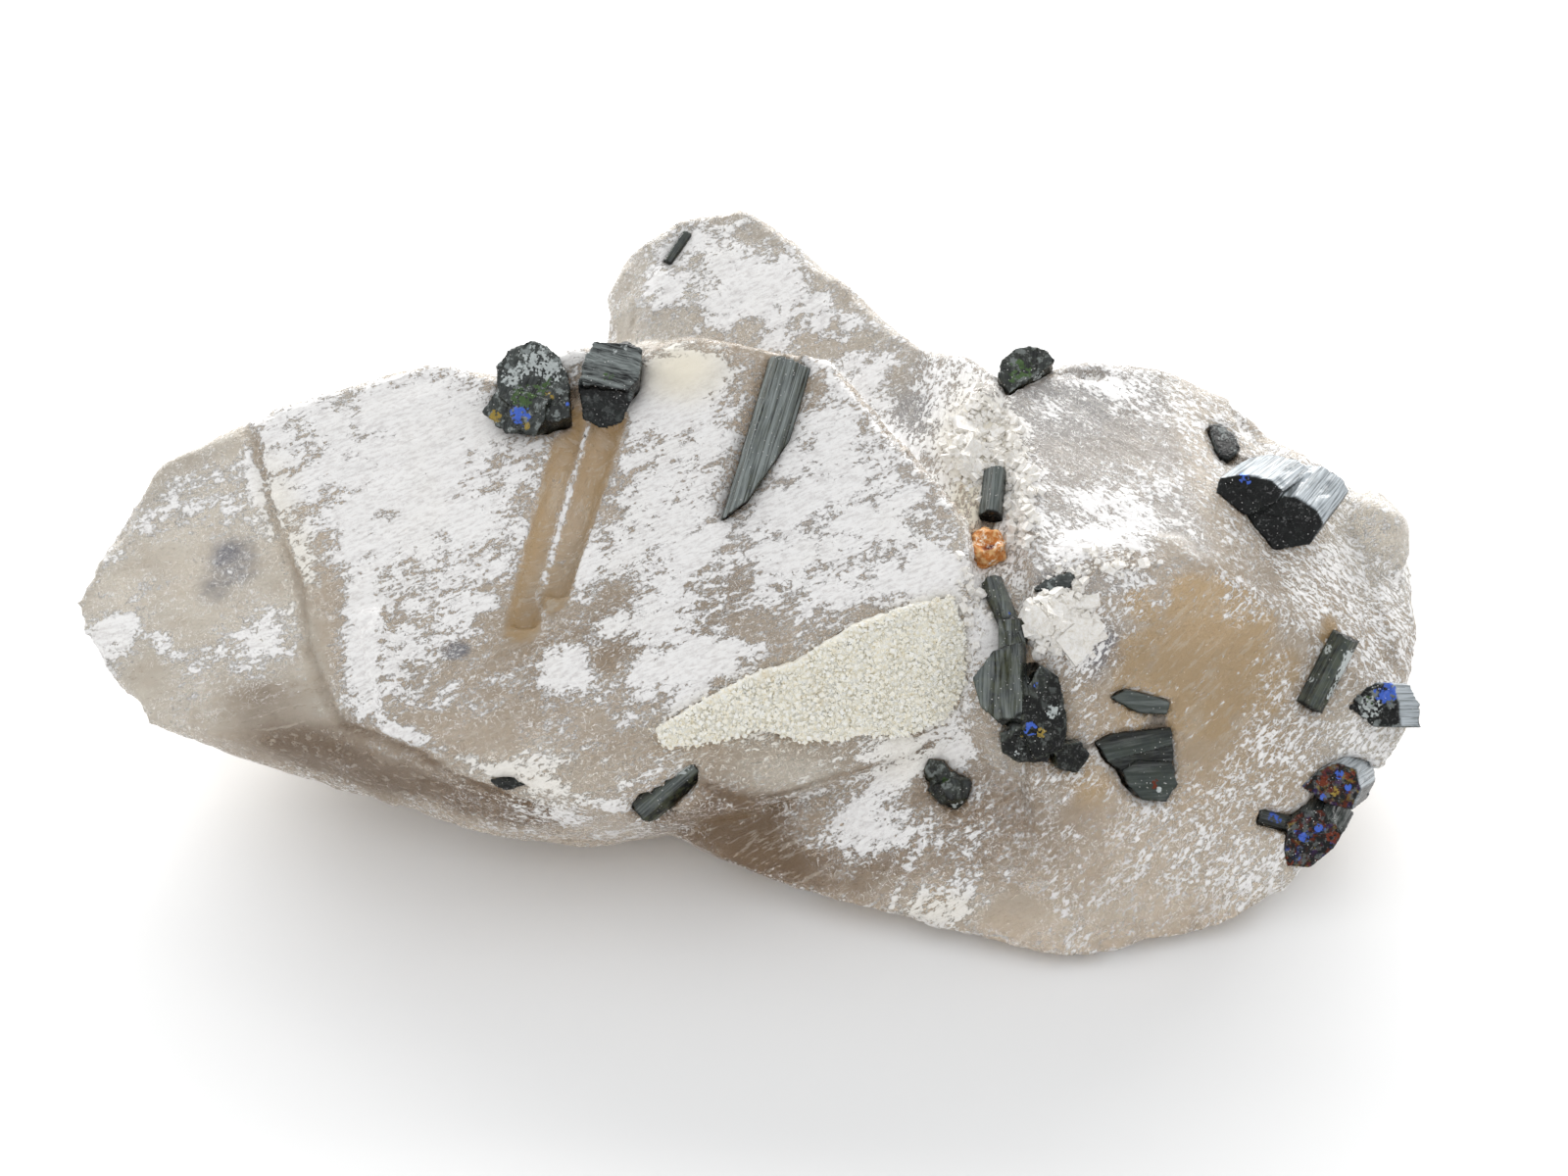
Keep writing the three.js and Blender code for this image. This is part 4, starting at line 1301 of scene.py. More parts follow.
# inky clouds
SMUDGE_PATCHES = (
    Patch("dark cloud in the left end", (-40.6, -3.2, 20.6), (3.0, 1.6, 3.0), 0.8, -30.0),
    Patch("left of it", (-42.6, -4.6, 18.8), (2.6, 1.2, 2.4), 0.45, -30.0),
    Patch("cloud under the flaky hollow", (27.0, -14.4, 20.8), (2.2, 2.2, 3.0), 0.8),
    Patch("ghost of a rod", (-0.2, -8.6, 23.7), (0.9, 4.6, 4.0), 0.22),
    Patch("dark spot on the broad face", (-22.4, -12.6, 19.4), (1.4, 0.8, 1.4), 0.8),
    Patch("behind the valley", (14.0, 7.4, 28.4), (2.4, 1.6, 2.0), 0.4),
    Patch("grey lip", (23.4, -10.4, 24.0), (2.0, 1.0, 1.6), 0.5),
)

# dark ground: deep smoky quartz, and painted shade on the lower, under and back faces
DEEP_AND_SHADED_PATCHES = (
    Patch("left under side", (-29.0, -18.2, 11.2), (12.0, 3.2, 3.4), 0.66, -14.0),
    Patch("left under side by the step", (-19.0, -20.6, 10.0), (5.4, 2.6, 2.6), 0.9),
    Patch("lower edge of the left end", (-35.6, -14.8, 14.2), (5.6, 2.8, 2.8), 0.4, -14.0),
    Patch("left end over its lower edge", (-40.0, -12.4, 14.8), (6.0, 2.4, 2.8), 0.3),
    Patch("back", (0.0, 24.0, 13.0), (60.0, 9.0, 14.0), 0.75),
    Patch("low front left", (-1.6, -20.2, 7.8), (6.6, 4.4, 5.0), 1.1),
    Patch("low front foot", (8.0, -21.8, 4.6), (8.0, 2.6, 2.6), 0.6),
    Patch("low front by the buds", (15.0, -20.4, 9.6), (9.0, 4.0, 5.0), 0.36),
    Patch("low front right", (20.0, -22.0, 8.0), (7.0, 4.0, 6.0), 0.4),
    Patch("broad crystal middle", (-8.0, -12.0, 21.0), (16.0, 3.0, 4.0), 0.35, 17.0),
)

# each used for one thing of its own
CLEAR_MOULD = Patch("clear end of the right mould", (-13.7, -5.6, 23.4), (1.3, 5.0, 4.0), 0.5)
AMBER_WINDOW = Patch("amber window", (35.0, -13.4, 19.6), (7.6, 5.6, 7.2), 1.0)
LOW_FRONT_SEAM = Patch("low crystal into the right one", (23.6, -23.6, 6.0), (2.6, 4.4, 6.5), 1.4)


def line_distance(points: Array, start: Array, end: Array) -> Array:
    """How far each point is from the straight line between two places, in millimetres."""
    run = end - start
    share = np.clip((points - start) @ run / (run @ run), 0.0, 1.0)
    return np.linalg.norm(points - start - share[:, None] * run, axis=1)


@dataclass(frozen=True)
class SurfaceLine:
    """A bruised edge, a ledge or a shallow cut: where it runs, how wide it is and how strong."""

    name: str
    places: tuple[Triple, ...]
    reach: float
    amount: float

    def weight(self, points: Array) -> Array:
        """How much of this line each point gets."""
        ends = [np.array(place) for place in self.places]
        away = [line_distance(points, start, end) for start, end in zip(ends, ends[1:])]
        return self.amount * np.exp(-((np.min(away, axis=0) / self.reach) ** 2))


# shallow cuts, darkened along them with painted shadow
CUT_LINES = (
    SurfaceLine(
        "groove between the left end and the broad face",
        (
            (-40.4, 5.6, 27.6), (-39.5, 4.3, 26.9), (-37.5, -2.0, 23.5), (-35.0, -6.9, 21.1),
            (-34.1, -11.2, 18.4), (-32.0, -15.5, 16.3),
        ),
        0.42,
        1.0,
    ),
    SurfaceLine(
        "under the rim of the broad crystal",
        (
            (-32.0, -15.5, 16.3), (-30.9, -16.5, 15.3), (-25.0, -19.1, 14.7), (-19.0, -21.1, 12.6),
            (-15.0, -21.3, 10.7),
        ),
        0.36,
        0.7,
    ),
    SurfaceLine(
        "foot of the broad crystal under the crust",
        (
            (-3.3, -20.8, 13.0), (0.8, -21.1, 11.0), (5.9, -19.7, 11.9), (11.8, -17.3, 12.2),
            (14.5, -17.1, 13.6),
        ),
        0.36,
        0.8,
    ),
    SurfaceLine(
        "right edge of the broad face",
        ((7.3, 6.0, 32.5), (10.9, 1.9, 30.6), (14.3, -1.9, 28.6), (17.8, -3.7, 25.9)),
        0.3,
        0.5,
    ),
)

# white bruised edges and ledges
WORN_LINES = (
    SurfaceLine(
        "edge by the left end",
        (
            (-40.3, 4.6, 26.8), (-39.0, 1.3, 25.1), (-36.8, -3.9, 22.4), (-34.8, -9.7, 19.2),
            (-32.6, -13.5, 17.5),
        ),
        0.4,
        0.4,
    ),
    SurfaceLine(
        "ledge at the lower left",
        ((-29.6, -9.9, 20.8), (-28.8, -14.0, 17.9), (-26.9, -17.9, 15.9)),
        0.7,
        0.2,
    ),
    SurfaceLine("right edge of the broad face", ((10.0, 2.7, 30.9), (17.0, -5.6, 27.1)), 0.2, 0.14),
    SurfaceLine(
        "rim of the broad crystal",
        (
            (-26.9, -17.9, 15.9), (-23.0, -19.6, 15.4), (-19.2, -21.2, 14.9), (-14.8, -22.1, 13.9),
            (-10.4, -22.3, 12.1), (-6.0, -20.9, 9.7),
        ),
        0.6,
        0.34,
    ),
    SurfaceLine(
        "front edge of the right crystal",
        ((36.0, -9.8, 25.0), (40.0, -10.1, 22.5), (43.2, -11.0, 20.3)),
        0.24,
        0.34,
    ),
    SurfaceLine(
        "pale ledge of the left end",
        ((-53.0, -4.1, 13.3), (-49.0, -4.8, 15.0), (-45.4, -7.7, 14.9)),
        1.2,
        0.4,
    ),
)


@dataclass(frozen=True)
class Channel:
    """An open channel where a rod has come out: its two ends and its half-width."""

    foot: Triple
    tip: Triple
    radius: float

    def distance(self, points: Array) -> Array:
        """How far each point is from the channel's middle line, in millimetres."""
        return line_distance(points, placed(self.foot), placed(self.tip))


CHANNELS = (
    Channel((-17.3, -11.4, 20.7), (-13.8, 3.4, 29.6), 1.3),
    Channel((-15.2, -9.2, 22.2), (-11.0, 3.4, 30.0), 1.5),
    Channel((45.8, -11.0, 19.4), (46.9, -7.6, 21.0), 1.15),
)


@dataclass
class Ground:
    """What the quartz is like at each corner of its mesh, as numbers from about 0 to 1.

    face is the number of its crystal face in GROUNDS. grain is its place along that face's streaks,
    across them and out of the face. frost is over 0.5 where it is frosted. contact is 1 where it
    touches a guest, channel on the wall of an open channel, worn on a worn edge, and crease in a
    crease.
    """

    face: Array
    grain: Array
    frost: Array
    contact: Array
    channel: Array
    worn: Array
    crease: Array


@dataclass
class QuartzCluster:
    """The grown-together quartz crystals, with their frost, steps, chips and worn edges."""

    guests: tuple[str, ...]  # the solids that sit in it
    voxel: float = 0.44

    # which face a corner lies on
    face_reach: float = 0.7
    face_lean: float = 0.66
    seam_rounds: int = 40

    # how it closes up to its guests
    contact_gap: float = 0.5
    rim: float = 1.6
    hug: float = 0.03
    hug_reach: float = 4.0
    lip_rounds: int = 3
    lip_width: int = 4

    # the open channels
    wall_fade: tuple[float, float] = (-0.1, 0.2)
    ridge_width: float = 0.6
    ridge_frost: float = 0.85
    ridge_paleness: float = 0.7
    channel_bareness: float = 0.9
    channel_calm: float = 0.7
    cut_bareness: float = 0.6

    # how deep its surface is worked, in millimetres
    edge_range: tuple[float, float] = (0.07, 0.3)
    crease_range: tuple[float, float] = (0.08, 0.35)
    undulation: float = 0.1
    fracture: float = 0.34
    chip_depth: float = 0.55
    edge_wear: float = 0.05
    groove_depth: float = 0.42
    crease_fill: float = 0.22
    frost_rise: float = 0.09
    stripe_depth: float = 0.05

    # how its thickness is taken
    thick: float = 26.0
    ray_start: float = 0.4
    ray_reach: float = 60.0
    thick_rounds: int = 30

    def build(self) -> tuple[bpy.types.Object, FineMesh]:
        """Makes the finely worked quartz.

        Returns:
            The object and its mesh, for what is sown on it.
        """
        thing = fine_copy("quartz_cluster", "smoky_quartz", self.voxel)
        mesh = FineMesh(thing.data)
        self._join_low_front(mesh)
        tree = solid_tree(self.guests)
        _, away = nearest(tree, mesh.points, self.rim)
        face, axes = self._faces(mesh, away < self.rim)
        grain = np.einsum("nij,nj->ni", axes, mesh.points)
        frost = self._frost_field(mesh, face, grain)
        contact = self._hug_guests(mesh, tree, away < self.contact_gap)
        channel, ridge = self._channel_weight(mesh)
        frost += self.ridge_frost * ridge - self.channel_bareness * channel
        channel *= 1.0 - self.ridge_paleness * ridge - CLEAR_MOULD.weight(mesh.points)
        channel = np.maximum(channel, 0.0)
        blank = np.zeros(mesh.count)
        ground = Ground(face, grain, frost, contact, channel, blank, blank)
        self._shape(mesh, ground)
        self._paint(mesh, ground)
        mesh.paint_pattern("grain", axes)
        thing.data.materials.append(QuartzFinish().material())
        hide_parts("quartz_cluster")
        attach(thing, BODY)
        return thing, mesh

    def _join_low_front(self, mesh: FineMesh) -> None:
        """Evens out the corner where the low crystal runs into the right one.

        Args:
            mesh: the quartz.
        """
        share = np.clip(LOW_FRONT_SEAM.weight(mesh.points), 0.0, 1.0)[:, None]
        even = mesh.relaxed(mesh.points, self.seam_rounds)
        mesh.points = mesh.points * (1.0 - share) + even * share
        mesh.settle()

    def _faces(self, mesh: FineMesh, rim: Array) -> tuple[Array, Array]:
        """Which crystal face each corner lies on.

        Args:
            mesh: the quartz.
            rim: true close round a guest, where the surface may lean away from its face.

        Returns:
            The face's number in GROUNDS, and the three axes of its pattern.
        """
        normals = mesh.relaxed(mesh.normals, 3)
        face = np.full(mesh.count, -1)
        closest = np.full(mesh.count, self.face_reach)
        axes = np.tile(BROKEN_GROUND.axes(), (mesh.count, 1, 1))
        for k, one in enumerate(FACES):
            away = np.abs(one.height_of(mesh.points))
            fits = (away < closest) & (rim | (normals @ one.normal > self.face_lean))
            closest = np.where(fits, away, closest)
            face = np.where(fits, k, face)
            axes[fits] = one.axes()
        return face, axes

    def _frost_field(self, mesh: FineMesh, face: Array, grain: Array) -> Array:
        """Where the frost lies.

        Args:
            mesh: the quartz.
            face: each corner's face.
            grain: its place along the streaks, across them and out of the face.

        Returns:
            About 0 where it is bare, and over 0.5 where it is frosted.
        """
        shares = mesh.relaxed(np.array([one.frost for one in GROUNDS])[face], 4)
        shares += total_weight(FROST_PATCHES, mesh.points)
        shares += total_weight(WORN_LINES, mesh.points)
        shares -= self.cut_bareness * total_weight(CUT_LINES, mesh.points)
        drawn = grain * np.array([0.6, 1.0, 1.0])
        shares += 0.42 * waves(drawn, size=3.6, seed=11, layers=3)
        shares += 0.2 * waves(drawn, size=1.1, seed=12, layers=2)
        return shares

    def _hug_guests(self, mesh: FineMesh, tree: BVHTree, touches: Array) -> Array:
        """Closes the quartz up to the minerals that sit in it.

        Args:
            mesh: the quartz.
            tree: the guests.
            touches: true for each corner next to one of them.

        Returns:
            1 where it touches one of them, and 0 elsewhere.
        """
        self._lay_on(mesh, tree, touches)
        band = mesh.relaxed(touches.astype(float), self.lip_width)[:, None]
        band = smooth(band, 0.0, 0.2)
        for _ in range(self.lip_rounds):
            mesh.points = mesh.points * (1.0 - band) + mesh.relaxed(mesh.points, 2) * band
            self._lay_on(mesh, tree, touches)
        mesh.settle()
        return touches.astype(float)

    def _lay_on(self, mesh: FineMesh, tree: BVHTree, chosen: Array) -> None:
        """Moves chosen corners on to the nearest guest, a hair's breadth off it.

        Args:
            mesh: the quartz.
            tree: the guests.
            chosen: true for each corner that is moved.
        """
        moved = mesh.points[chosen]
        places, _ = nearest(tree, moved, self.hug_reach)
        outward = moved - places
        length = np.maximum(np.linalg.norm(outward, axis=1), TINY)[:, None]
        mesh.points[chosen] = places + outward / length * self.hug

    def _channel_weight(self, mesh: FineMesh) -> tuple[Array, Array]:
        """Where the open channels are.

        Args:
            mesh: the quartz.

        Returns:
            1 on their walls, and 1 on the ridge between the first two of them.
        """
        away = [channel.distance(mesh.points) - channel.radius for channel in CHANNELS]
        walls = 1.0 - smooth(np.min(away, axis=0), *self.wall_fade)
        between = np.abs(away[0] - away[1]) + np.maximum(away[0], 0.0)
        return walls, np.exp(-((between / self.ridge_width) ** 2))

    def _shape(self, mesh: FineMesh, ground: Ground) -> None:
        """Works the surface: ripples, stripes, broken ground, chipped edges, cuts and frost.

        Args:
            mesh: the quartz.
            ground: what it is like, whose worn edges and creases are found here.
        """
        points = mesh.points
        bulge = mesh.bulge(10)
        edge = smooth(bulge, *self.edge_range)
        ground.crease = smooth(-bulge, *self.crease_range)
        rough = mesh.relaxed((ground.face < 0).astype(float), 3)
        free = (1.0 - mesh.relaxed(ground.contact, 2)) * (1.0 - self.channel_calm * ground.channel)

        bent = points + 1.2 * soft_noise(points, size=2.0, seed=5)[:, None]
        plates = facets(bent, size=3.2, seed=22, width=0.75)
        small_plates = facets(points, size=1.3, seed=23, width=0.7, fade=0.4)
        drawn = ground.grain * np.array([0.12, 1.0, 1.0])
        chips = smooth(layered(points, size=2.4, seed=25, layers=3), 0.42, 0.8)

        distance = self.undulation * 2.0 * waves(points, size=7.0, seed=21, layers=3) * (0.5 + rough)
        distance += rough * self.fracture * (plates * 1.2 + 0.5 * small_plates)
        distance += (1.0 - rough) * self.stripe_depth * 2.0 * waves(drawn, size=1.1, seed=24, layers=2)
        distance += self.frost_rise * smooth(ground.frost, 0.42, 0.62)
        distance -= edge * self.chip_depth * chips
        distance -= edge * self.edge_wear
        distance -= self.groove_depth * total_weight(CUT_LINES, points)
        filled = layered(points, size=0.9, seed=26, layers=2)
        distance += ground.crease * self.crease_fill * filled
        mesh.push(distance * free)

        low, high = (np.array(corner) / MM for corner in CAD_BOX)
        mesh.points = np.clip(mesh.points, low, high)
        mesh.points[:, 2] = np.maximum(mesh.points[:, 2], 0.0)
        mesh.settle()
        ground.worn = edge * (0.45 + 0.55 * chips)

    def _thickness(self, mesh: FineMesh) -> Array:
        """How thick the quartz is behind each corner, in millimetres."""
        tree = mesh.tree()
        depth = np.zeros(mesh.count)
        for k, (point, normal) in enumerate(zip(mesh.points, mesh.normals)):
            start = Vector(point - normal * self.ray_start)
            _, _, _, reach = tree.ray_cast(start, Vector(-normal), self.ray_reach)
            depth[k] = 0.0 if reach is None else reach
        return mesh.relaxed(depth, self.thick_rounds)

    def _paint(self, mesh: FineMesh, ground: Ground) -> None:
        """Paints what the finish reads.

        Args:
            mesh: the quartz.
            ground: what it is like.
        """
        points, face = mesh.points, ground.face
        pale = mesh.relaxed(np.array([one.pale for one in GROUNDS])[face], 8)
        # painted reflection of the sky, face by face
        steel = mesh.relaxed(np.array([one.steel for one in GROUNDS])[face], 8)
        fine = mesh.relaxed(np.array([one.fine for one in GROUNDS])[face], 6)
        front = np.array([float(one.name == "right_front") for one in GROUNDS])[face]

        thick = np.clip(self._thickness(mesh) / self.thick, 0.0, 1.0)
        # thin quartz is painted pale, as painted light shining through it
        thin = 1.0 - 3.0 * thick
        # painted shade on the lower, under and back faces, and painted shadow along the cuts
        deep_and_shade = total_weight(DEEP_AND_SHADED_PATCHES, points) + 0.8 * total_weight(CUT_LINES, points)
        pale = np.maximum(pale + total_weight(PALE_PATCHES, points), thin)
        pale *= 1.0 - np.clip(deep_and_shade, 0.0, 1.0)

        window = AMBER_WINDOW.weight(points) + 0.5 * waves(points, size=2.2, seed=31, layers=3)
        amber = smooth(window, 0.3, 0.52) * mesh.relaxed(front, 1)
        amber += total_weight(AMBER_PATCHES, points)
        cream = total_weight(CREAM_PATCHES, points) + 0.15 * ground.crease
        weights = {
            "frost": ground.frost + 0.3 * ground.crease,
            "worn": ground.worn,
            # thickness, with the painted shade added
            "thick": np.clip(0.34 * thick + deep_and_shade, 0.0, 1.0),
            "pale": np.clip(pale, 0.0, 0.9),
            "steel": np.clip(steel + total_weight(SKY_REFLECTION_PATCHES, points), 0.0, 0.8),
            "amber": np.clip(amber, 0.0, 1.0),
            "mould": ground.channel,
            "fine": fine,
            "cream": np.clip(cream, 0.0, 1.0),
            "smudge": total_weight(SMUDGE_PATCHES, points),
            "contact": smooth(mesh.relaxed(ground.contact, 2), 0.8, 0.97),
        }
        for name, values in weights.items():
            mesh.paint(name, values)


# Tourmaline


class Side(Enum):
    """How the long sides of a tourmaline look.

    The second kind has a painted reflection of the sky on its upper sides.
    """

    DARK = 0.0
    REFLECTING = 1.0


@dataclass(frozen=True)
class Axis:
    """The middle line of one growth of a tourmaline, which its stripes run along."""

    foot: Triple
    tip: Triple
    radius: float
    flat: bool = False  # a broken slab, whose stripes run side by side instead of round it

    def ends(self) -> tuple[Array, Array]:
        """Its two ends in the frame."""
        return placed(self.foot), placed(self.tip)


@dataclass(frozen=True)
class Spot:
    """A coloured spot on a tourmaline, in millimetres of the frame."""

    hue: Hue
    at: Triple
    reach: float
    amount: float = 1.0

    def weight(self, points: Array) -> Array:
        """How much of this spot each point gets."""
        away = np.linalg.norm(points - np.array(self.at), axis=1)
        return self.amount * np.exp(-((away / self.reach) ** 3))


@dataclass
class Tourmaline:
    """One tourmaline: the growths that it is made of, and how its sides and breaks look.

    slate is the painted sheen on its upper sides, and break_sheen that on its breaks.
    fire is how much of a break shows scattered colours, spots are the coloured places on it, and
    rugged is how rough its breaks are.
    Its stripes run across it where it is banded. A lumpy one is a break all over, and elsewhere a
    break is where its normal leans to its axis by more than break_lean.
    """

    node: str
    axes: tuple[Axis, ...]
    side: Side = Side.DARK
    # painted sheen of light on the upper sides, and on the breaks
    slate: float = 0.35
    break_sheen: float = 0.3
    banded: bool = False
    spots: tuple[Spot, ...] = ()
    fire: float = 0.0
    olive: float = 0.2
    rugged: float = 1.0
    lumpy: bool = False
    voxel: float = 0.14
    rib_depth: float = 0.07
    nick_depth: float = 0.1
    break_depth: float = 0.26
    break_lean: tuple[float, float] = (0.3, 0.58)
    lumpy_break: float = 0.8

    def build(self, finish: bpy.types.Material) -> bpy.types.Object:
        """Makes the finely worked tourmaline.

        Args:
            finish: the tourmaline material.

        Returns:
            The object.
        """
        thing = fine_copy(self.node, self.node + "_detail", self.voxel)
        mesh = FineMesh(thing.data)
        around, along, out, lean = self._round_axis(mesh)
        points = mesh.points
        broken = smooth(np.abs(lean), *self.break_lean)
        if self.lumpy:
            broken = np.full(mesh.count, self.lumpy_break)
        grain = np.stack([along, around, out] if self.banded else [around, along, out], axis=1)
        ribs = waves(grain * np.array([1.0, 0.03, 0.0]), size=0.55, seed=41, layers=3)
        nicked = layered(grain * np.array([1.0, 0.5, 1.0]), size=1.2, seed=44, layers=3)
        hackle = waves(points, size=0.9, seed=42, layers=4)
        steps = facets(points, size=0.75, seed=43, width=0.8)
        sides = self.rib_depth * 2.0 * ribs - self.nick_depth * smooth(nicked, 0.7, 0.95)
        distance = (1.0 - broken) * sides
        distance += broken * self.break_depth * self.rugged * (hackle + 0.8 * steps - 0.25)
        mesh.push(distance)
        # the sides and breaks that face up get a painted sheen of light, and reflecting sides a
        # painted reflection of the sky
        upward = smooth(mesh.normals[:, 2], -0.1, 0.6)
        silver = (1.0 - broken) * self.side.value * smooth(mesh.normals[:, 2], -0.1, 0.5)
        mesh.paint("grain", grain)
        mesh.paint("broken", mesh.relaxed(broken, 1))
        mesh.paint("silver", silver)
        mesh.paint("slate", upward * (self.slate + (self.break_sheen - self.slate) * broken))
        for hue in Hue:
            mesh.paint(hue.layer, total_weight([s for s in self.spots if s.hue is hue], points))
        mesh.paint("fire", self.fire * (0.35 + 0.65 * broken))
        mesh.paint("olive", np.full(mesh.count, self.olive))
        thing.data.materials.append(finish)
        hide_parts(self.node)
        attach(thing, BODY)
        return thing

    def _round_axis(self, mesh: FineMesh) -> tuple[Array, Array, Array, Array]:
        """Where each corner is round the growth that it belongs to.

        Args:
            mesh: the tourmaline.

        Returns:
            Its place round the axis and along it and its distance from it, in millimetres, and how
            far its normal leans to the axis, from -1 to 1.
        """
        best = np.full(mesh.count, np.inf)
        found = [np.zeros(mesh.count) for _ in range(4)]
        for one in self.axes:
            foot, tip = one.ends()
            run = (tip - foot) / np.linalg.norm(tip - foot)
            side = np.cross(run, [0.3, 0.1, 1.0])
            side /= np.linalg.norm(side)
            up = np.cross(run, side)
            away = mesh.points - foot
            along = away @ run
            flat = np.stack([away @ side, away @ up], axis=1)
            out = np.linalg.norm(flat, axis=1)
            around = flat[:, 0] if one.flat else np.arctan2(flat[:, 1], flat[:, 0]) * one.radius
            share = out / one.radius
            closer = share < best
            best = np.where(closer, share, best)
            news = (around, along, out, mesh.normals @ run)
            found = [np.where(closer, new, old) for new, old in zip(news, found)]
        return found[0], found[1], found[2], found[3]


